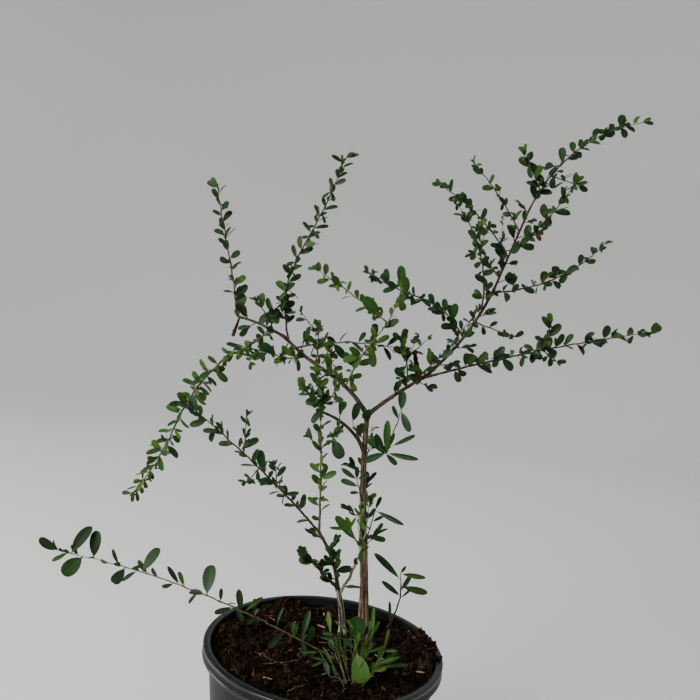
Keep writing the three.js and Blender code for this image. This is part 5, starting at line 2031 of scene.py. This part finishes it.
@dataclass
class Foliage:
    """Every shoot with its twigs, thorns and leaves, grown by the solids' rule."""

    limbs: dict[str, Limb]
    first_seed: int = 23
    seed_step: int = 7
    bare_foot: float = 0.06  # share of a stem below its first leaf
    leaf_spiral: float = 2.4  # radians from one leaf to the next round the stem
    leaf_lift: float = 0.18
    spur_length: float = 9 * MM
    thorn_every: float = 34 * MM
    thorn_length: tuple[float, float] = (3.5, 8.0)  # in millimetres
    leaf_trim: float = 0.95  # the rule's leaves are smaller and more than the solids' are
    slim_trim: float = 0.88
    slender: float = 0.58  # how thick the stalks are that rise from the soil themselves
    flat: float = 0.6  # how far the leaves reach to the front and the back
    between: float = 0.75  # the share of stems between two nodes with small leaves
    named_slim: float = 0.84  # a named leaf's oval is this much slimmer than the solid's blade
    leaves: list[Leaf] = field(default_factory=list)
    twigs: list[Strand] = field(default_factory=list)
    thorns: list[Strand] = field(default_factory=list)

    def _branches(self, spec: ShootSpec) -> list[tuple[Branch, SideSpec]]:
        """The stem of a shoot and its side shoots, each with what the table says of it."""
        base, tip = twig_radii(spec.stem.reach)
        stem = grow(spec.name, spec.stem, (base * spec.stout, tip * spec.stout), self.limbs)
        self.limbs[spec.name] = stem
        tone = spec.tone or TONES[spec.tint]
        seed = float(len(self.limbs))
        main = Branch(stem, spec.habit.value, seed, tone)
        found = [(main, SideSpec(spec.stem, spec.habit, spec.leaves, spec.tint))]
        for i, side in enumerate(spec.sides):
            route = Route(stem.route.point(side.stem.at), side.stem)
            lead = (main.middle(max(0.0, side.stem.at - 0.02)),)
            if side.stem.foot:
                foot = Vector((side.stem.foot[0] * MM, side.stem.foot[1] * MM, SOIL_LEVEL))
                route = Route(foot, side.stem)
                lead = (foot - UP * (4 * MM),)
            base, tip = twig_radii(side.stem.reach)
            if side.stem.foot:
                base, tip = base * self.slender, tip * self.slender
            side = replace(side, tint=side.tint or spec.tint)
            limb = Limb(spec.name, route, route.length(), base, tip, 0.0, lead)
            habit = (side.habit or spec.habit).value
            found.append((Branch(limb, habit, seed + 0.3 * (i + 1), tone), side))
        return found

    def _set_leaf(self, branch: Branch, t: float, along: Vector, roll: float, length: float,
                  slim: float, tint: Tint, draw: random.Random,
                  toward: Vector = LIGHT) -> None:
        """Sets a leaf on a shoot.

        Args:
            branch: The shoot.
            t: How far up it.
            along: The leaf's direction.
            roll: How far it turns its face from the light.
            length: Its length.
            slim: Its width as a share of that.
            tint: Its age.
            draw: Chances for its form and shade.
            toward: Where it turns its face.
        """
        face = (toward - along * toward.dot(along)).normalized()
        face.rotate(Quaternion(along, roll))
        root = branch.middle(t) + along * (0.4 * branch.limb.thickness(t))
        form = draw.choice(OVALS)
        if slim < NARROW_BELOW:
            form = NARROW_FORM
        elif slim > ROUND_ABOVE:
            form = ROUND_FORM
        shades = len(LEAF_FINISHES[tint])
        shade = min(int(abs(draw.gauss(0.0, 0.8)) * shades / 2), shades - 1)
        shade = (shade + int(branch.seed)) % shades
        self.leaves.append(Leaf(root, along, face, length, slim, form, tint, shade))

    def _named_leaves(self, branch: Branch, side: SideSpec, tint: Tint,
                      stream: Iterator[float], draw: random.Random) -> None:
        """Sets the leaves that the table names, square to the line of sight.

        Args:
            branch: The shoot.
            side: Its row, which lists the leaves.
            tint: Its leaves' age.
            stream: The numbers that shape the solids.
            draw: Chances for what only the finish has.
        """
        for t, length, heading, slim, *age in side.leaves:
            angle = math.radians(heading)
            height = branch.limb.route.point(t).z
            lean = math.sin(angle) * (EYE_HEIGHT - height) / EYE_DISTANCE
            along = Vector((math.cos(angle), lean + next(stream) - 0.6, math.sin(angle)))
            size = length * MM * along.length
            along.normalize()
            roll = 0.6 * (next(stream) - 0.5)
            own = Tint(age[0]) if age else tint
            self._set_leaf(branch, t, along, roll, size, slim * self.named_slim, own, draw, VIEW)

    def _ruled_leaves(self, branch: Branch, tint: Tint, stream: Iterator[float],
                      draw: random.Random) -> None:
        """Sets the leaves round a shoot by the rule, with spurs and axil leaves.

        Args:
            branch: The shoot.
            tint: Its leaves' age.
            stream: The numbers that shape the solids.
            draw: Chances for what only the finish has.
        """
        habit, limb = branch.habit, branch.limb
        count = round(limb.length / MM * (1 - self.bare_foot) / habit.every)
        turn = next(stream) * math.tau
        for i in range(count + 1):
            share = (i + 0.5 * next(stream)) / count if count else 1.0
            t = min(1.0, self.bare_foot + (1 - self.bare_foot) * share)
            opened = habit.spread * (0.75 + 0.5 * next(stream)) * (1.1 - 0.45 * t)
            spread = math.radians(opened)
            angle = turn + i * self.leaf_spiral + 0.7 * (next(stream) - 0.5)
            side = limb.route.square_to(t, angle)
            side.y *= self.flat
            side.normalize()
            along = (limb.route.tangent(t) * math.cos(spread) + side * math.sin(spread)
                     + UP * self.leaf_lift).normalized()
            length = habit.length * MM * (0.72 + 0.5 * next(stream)) * (1 - 0.25 * t ** 4)
            length *= self.leaf_trim
            roll = (next(stream) - 0.5) * 1.7
            slim = habit.slim * (0.85 + 0.3 * next(stream)) * self.slim_trim
            own = self._age(tint, t, draw)
            if next(stream) < habit.spurs and t < 0.9:
                spur_length = self.spur_length * (0.7 + 0.6 * next(stream))
                self._spur(branch, t, along, spur_length, length, own, stream, draw)
            else:
                self._set_leaf(branch, t, along, roll, length, slim, own, draw)
            if draw.random() < habit.axils:
                self._axil(branch, t, along, length, slim, own, draw)
            if count and draw.random() < self.between * habit.axils:
                half = min(1.0, t + 0.5 / count)
                self._axil(branch, half, -along, length, slim, own, draw)

    @staticmethod
    def _age(tint: Tint, t: float, draw: random.Random) -> Tint:
        """The age of a leaf: younger than its shoot's now and then, and near its tip."""
        young = smooth_step(t, 0.75, 1.0) * 0.3 + 0.07
        if draw.random() < young:
            return Tint(min(tint.value + 1, Tint.PALE.value))
        if tint is Tint.FRESH and draw.random() < 0.2:
            return Tint.MATURE
        return tint

    def _axil(self, branch: Branch, t: float, along: Vector, length: float, slim: float,
              tint: Tint, draw: random.Random) -> None:
        """Sets one or two small leaves at the foot of a leaf.

        Args:
            branch: The shoot.
            t: How far up it the leaf stands.
            along: The leaf's direction.
            length: Its length.
            slim: Its width as a share of that.
            tint: Its age.
            draw: Where the chances come from.
        """
        for side in (1, -1)[:draw.choice((1, 2, 2))]:
            small = along.copy()
            small.rotate(Quaternion(branch.limb.route.tangent(t),
                                    side * (0.7 + 1.1 * draw.random())))
            small = (small + UP * 0.15).normalized()
            share = draw.choice((0.5, 0.65, 0.8, 0.95))
            self._set_leaf(branch, t, small, draw.uniform(-1.0, 1.0), length * share, slim,
                           tint, draw)

    def _spur(self, branch: Branch, t: float, along: Vector, length: float,
              leaf_length: float, tint: Tint, stream: Iterator[float],
              draw: random.Random) -> None:
        """Grows a short spur with a few leaves at its end.

        Args:
            branch: The shoot.
            t: How far up it.
            along: The spur's direction.
            length: Its length.
            leaf_length: The length of its leaves.
            tint: Their age.
            stream: The numbers that shape the solids.
            draw: Chances for what only the finish has.
        """
        reach = tuple(along * (length / MM))
        route = Route(branch.middle(t), Stem(reach))
        limb = Limb(branch.limb.name, route, length, 0.6 * MM, 0.4 * MM)
        spur = Branch(limb, branch.habit, branch.seed + t, branch.tone, kink=0.0)
        self.twigs.append(spur.strand())
        for turn in (0.9, -0.9, 0.3):
            splay = along.copy()
            splay.rotate(Quaternion(route.square_to(1, turn), turn))
            if turn == 0.3:
                self._set_leaf(spur, 1.0, splay, draw.uniform(-0.5, 0.5), 0.7 * leaf_length,
                               0.5, tint, draw)
            else:
                self._set_leaf(spur, 0.9, splay, next(stream) - 0.5, leaf_length, 0.5, tint,
                               draw)

    def _tip(self, branch: Branch, tint: Tint, draw: random.Random) -> None:
        """Sets the tuft of small young leaves at a shoot's tip.

        Args:
            branch: The shoot.
            tint: Its leaves' age.
            draw: Where the chances come from.
        """
        young = tint
        if draw.random() < 0.35:
            young = Tint(min(tint.value + 1, Tint.PALE.value))
        ahead = branch.limb.route.tangent(1.0)
        for i in range(3 if branch.habit.leafy else 1):
            side = branch.limb.route.square_to(1.0, draw.random() * math.tau)
            along = (ahead + side * draw.uniform(0.15, 0.6) + UP * 0.2).normalized()
            self._set_leaf(branch, 1.0 - 0.02 * i, along, draw.uniform(-0.8, 0.8),
                           draw.uniform(4.0, 8.0) * MM, 0.42, young, draw)

    def _add_thorns(self, branch: Branch, draw: random.Random) -> None:
        """Sets thorns along a shoot.

        Args:
            branch: The shoot.
            draw: Where the chances come from.
        """
        for _ in range(round(branch.limb.length / self.thorn_every)):
            t = draw.uniform(0.08, 0.92)
            side = branch.limb.route.square_to(t, draw.random() * math.tau)
            along = (branch.limb.route.tangent(t) * 0.55 + side).normalized()
            length = draw.uniform(*self.thorn_length) * MM
            root = branch.middle(t)
            points = [root + along * (length * i / 4) for i in range(5)]
            radii = [0.42 * MM * (1 - i / 4.2) for i in range(5)]
            self.thorns.append(Strand(points, radii, Tone.BROWN))

    def _spur_row(self, row: SpurRow, draw: random.Random) -> None:
        """Grows the short leafy spurs along a limb.

        Args:
            row: What the table says of them.
            draw: Where the chances come from.
        """
        limb = self.limbs[row.on]
        wood = HabitRule(row.length, row.slim, row.every, 55, 0, 0)
        whole = Branch(limb, wood, 0.0, Tone.BROWN, kink=0.0)
        count = round(limb.length / MM * (row.end - row.start) / row.every)
        turn = draw.random() * math.tau
        for i in range(count):
            t = row.start + (row.end - row.start) * (i + draw.random()) / count
            turn += self.leaf_spiral
            side = limb.route.square_to(t, turn)
            along = (limb.route.tangent(t) * draw.uniform(0.2, 0.9) + side + UP * 0.25)
            along.normalize()
            length = draw.uniform(4.0, 13.0) * MM
            start = limb.route.point(t)
            root = start + side * (0.5 * limb.thickness(t))
            reach = tuple(along * ((length + limb.thickness(t)) / MM))
            twig = Limb(row.on, Route(root, Stem(reach)), length, 0.62 * MM, 0.42 * MM)
            spur = replace(whole, limb=twig, seed=draw.random() * 50)
            self.twigs.append(spur.strand())
            for k in range(draw.choice((3, 4, 5))):
                share = 1.0 - 0.2 * k
                splay = side.copy()
                splay.rotate(Quaternion(along, k * self.leaf_spiral + turn))
                leaf = (along * draw.uniform(0.5, 1.3) + splay * 0.8 + UP * 0.1).normalized()
                self._set_leaf(spur, share, leaf, draw.uniform(-1.0, 1.0),
                               row.length * MM * draw.uniform(0.6, 1.1),
                               row.slim * draw.uniform(0.85, 1.15), row.tint, draw)

    def grow_all(self) -> None:
        """Grows every shoot of the table."""
        for i, row in enumerate(SPUR_ROWS):
            self._spur_row(row, random.Random(700 + i))
        for i, spec in enumerate(SHOOTS):
            stream = numbers_from(self.first_seed + self.seed_step * i)
            draw = random.Random(1000 + i)
            for branch, side in self._branches(spec):
                self.twigs.append(branch.strand())
                self._named_leaves(branch, side, side.tint, stream, draw)
                if side.leaves and not side.habit:
                    continue
                if branch.habit is not Habit.SPARSE.value:
                    self._ruled_leaves(branch, side.tint, stream, draw)
                    self._tip(branch, side.tint, draw)
                self._add_thorns(branch, draw)

    def _leaf_piece(self, tint: Tint, forms: bpy.types.Collection) -> bpy.types.Object:
        """Makes the piece of all leaves of one age.

        Args:
            tint: The age.
            forms: The forms that the leaves take.

        Returns:
            The piece, not yet tied to the frame.
        """
        leaves = [leaf for leaf in self.leaves if leaf.tint is tint]
        name = f"leaves_{tint.name.lower()}"
        mesh = new_mesh(name, [leaf.root for leaf in leaves], [])
        mark(mesh, "turn", "FLOAT_VECTOR", "POINT", [leaf.turn() for leaf in leaves])
        mark(mesh, "size", "FLOAT_VECTOR", "POINT", [leaf.size() for leaf in leaves])
        mark(mesh, "form", "INT", "POINT", [leaf.form for leaf in leaves])
        mark(mesh, "shade", "INT", "POINT", [leaf.shade for leaf in leaves])
        piece = new_object(name, mesh)
        LeafTree(LEAF_FINISHES[tint]).run(piece, {"Forms": forms, "Leaf size": 1.0})
        LOG.info("%s: %d leaves", name, len(leaves))
        return piece

    def build(self) -> None:
        """Makes the shoots, the thorns and the leaves."""
        self.grow_all()
        shoots = build_strands("shoots_and_twigs", self.twigs, 7)
        settle(shoots, Slot.YOUNG, *[spec.name for spec in SHOOTS])
        settle(build_strands("thorns", self.thorns, 5), Slot.YOUNG)
        forms = bpy.data.collections.new("leaf_forms")
        for i, form in enumerate(LEAF_FORMS):
            forms.objects.link(form.build(f"leaf_form_{i}"))
        slots = {Tint.MATURE: Slot.LEAF_DARK, Tint.FRESH: Slot.LEAF_FRESH,
                 Tint.PALE: Slot.LEAF_PALE, Tint.DRY: Slot.LEAF_PALE}
        for tint, slot in slots.items():
            settle(self._leaf_piece(tint, forms), slot)
        for form in list(forms.objects):
            bpy.data.objects.remove(form)
        bpy.data.collections.remove(forms)


# ------------------------------------------------------------------ the studio

@dataclass(frozen=True)
class Lamp:
    """A large soft light that looks at the shrub."""

    name: str
    place: Triple
    size: float
    watts: float
    colour: Triple

    def build(self, target: Vector) -> None:
        """Hangs the lamp."""
        data = bpy.data.lights.new(self.name, "AREA")
        data.shape = "SQUARE"
        data.size = self.size
        data.energy = self.watts
        data.color = self.colour
        lamp = bpy.data.objects.new(self.name, data)
        lamp.location = self.place
        lamp.rotation_euler = (target - Vector(self.place)).to_track_quat("-Z", "Y").to_euler()
        bpy.context.scene.collection.objects.link(lamp)


@dataclass(frozen=True)
class Studio:
    """A pale bowl of a room, soft lamps, and the camera."""

    eye: Triple = (-0.0068, -0.8447, 0.6309)
    pitch: float = 6.8  # degrees down
    roll: float = 6.33  # degrees
    focal_pixels: float = 850.0
    frame_pixels: float = 700.0
    target: Triple = (0.0, 0.05, 0.45)
    floor_radius: float = 2.2
    sweep: float = 1.2
    wall_top: float = 3.4
    backdrop: Colour = (0.66, 0.66, 0.655, 1.0)
    sky: Colour = (0.93, 0.96, 1.0, 1.0)
    sky_strength: float = 0.22
    lamps: tuple[Lamp, ...] = (
        Lamp("key", (-1.5, -1.4, 1.9), 1.3, 92.0, (1.0, 0.985, 0.96)),
        Lamp("fill", (1.9, -1.2, 1.2), 1.8, 10.0, (0.94, 0.97, 1.0)),
        Lamp("back", (0.6, 1.9, 2.2), 1.6, 22.0, (0.97, 0.985, 1.0)),
        Lamp("side", (-1.9, 0.5, 1.1), 0.9, 16.0, (0.98, 0.99, 1.0)),
    )

    def _camera(self) -> None:
        """Sets the camera up."""
        p, r = math.radians(self.pitch), math.radians(self.roll)
        ahead = Vector((0.0, math.cos(p), -math.sin(p)))
        right = Vector((math.cos(r), math.sin(r) * math.sin(p), math.sin(r) * math.cos(p)))
        up = right.cross(ahead)
        data = bpy.data.cameras.new("camera")
        data.sensor_width = 36.0
        data.lens = data.sensor_width * self.focal_pixels / self.frame_pixels
        camera = bpy.data.objects.new("camera", data)
        turn = Matrix((right, up, -ahead)).transposed().to_4x4()
        camera.matrix_world = Matrix.Translation(self.eye) @ turn
        bpy.context.scene.collection.objects.link(camera)
        bpy.context.scene.camera = camera

    def _room(self) -> None:
        """Makes the floor, which sweeps up into the wall all round."""
        drop = -0.5 * MM
        profile = [(0.0, drop), (self.floor_radius / 2, drop), (self.floor_radius, drop)]
        steps = 12
        for i in range(1, steps + 1):
            angle = math.pi / 2 * i / steps
            profile.append((self.floor_radius + self.sweep * math.sin(angle),
                            drop + self.sweep * (1 - math.cos(angle))))
        profile.append((self.floor_radius + self.sweep, self.wall_top))
        points, faces = lathe(profile, 96)
        room = new_object("studio_floor", new_mesh("studio_floor", points, faces))
        surface = Surface("paper", Base_Color=self.backdrop, Roughness=0.9)
        room.data.materials.append(surface.material)

    def build(self) -> None:
        """Makes the studio."""
        self._camera()
        self._room()
        for lamp in self.lamps:
            lamp.build(Vector(self.target))
        world = bpy.data.worlds.new("sky")
        world.use_nodes = True
        glow = world.node_tree.nodes["Background"]
        glow.inputs["Color"].default_value = self.sky
        glow.inputs["Strength"].default_value = self.sky_strength
        bpy.context.scene.world = world


# ------------------------------------------------------------------ the whole

def grown_limbs() -> dict[str, Limb]:
    """Every limb of the table, in the order in which one carries the next."""
    limbs: dict[str, Limb] = {}
    for spec in LIMBS:
        radii = (spec.radius[0] * MM, spec.radius[1] * MM)
        limbs[spec.name] = grow(spec.name, spec.stem, radii, limbs, spec.flare * MM)
    return limbs


def write_sizes() -> None:
    """Updates the view layer."""
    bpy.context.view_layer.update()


def main() -> None:
    """Builds everything in order."""
    logging.basicConfig(level=logging.INFO, format="%(message)s")
    Studio().build()
    pot = Pot()
    pot.build()
    stems = [*LIMBS, *SHOOTS]
    feet = [(spec.stem.foot[0] * MM, spec.stem.foot[1] * MM) for spec in stems if spec.stem.foot]
    SoilBed(pot, feet).build()
    limbs = grown_limbs()
    WoodWork(limbs).build()
    Foliage(limbs).build()
    write_sizes()


if __name__ == "__main__":
    main()
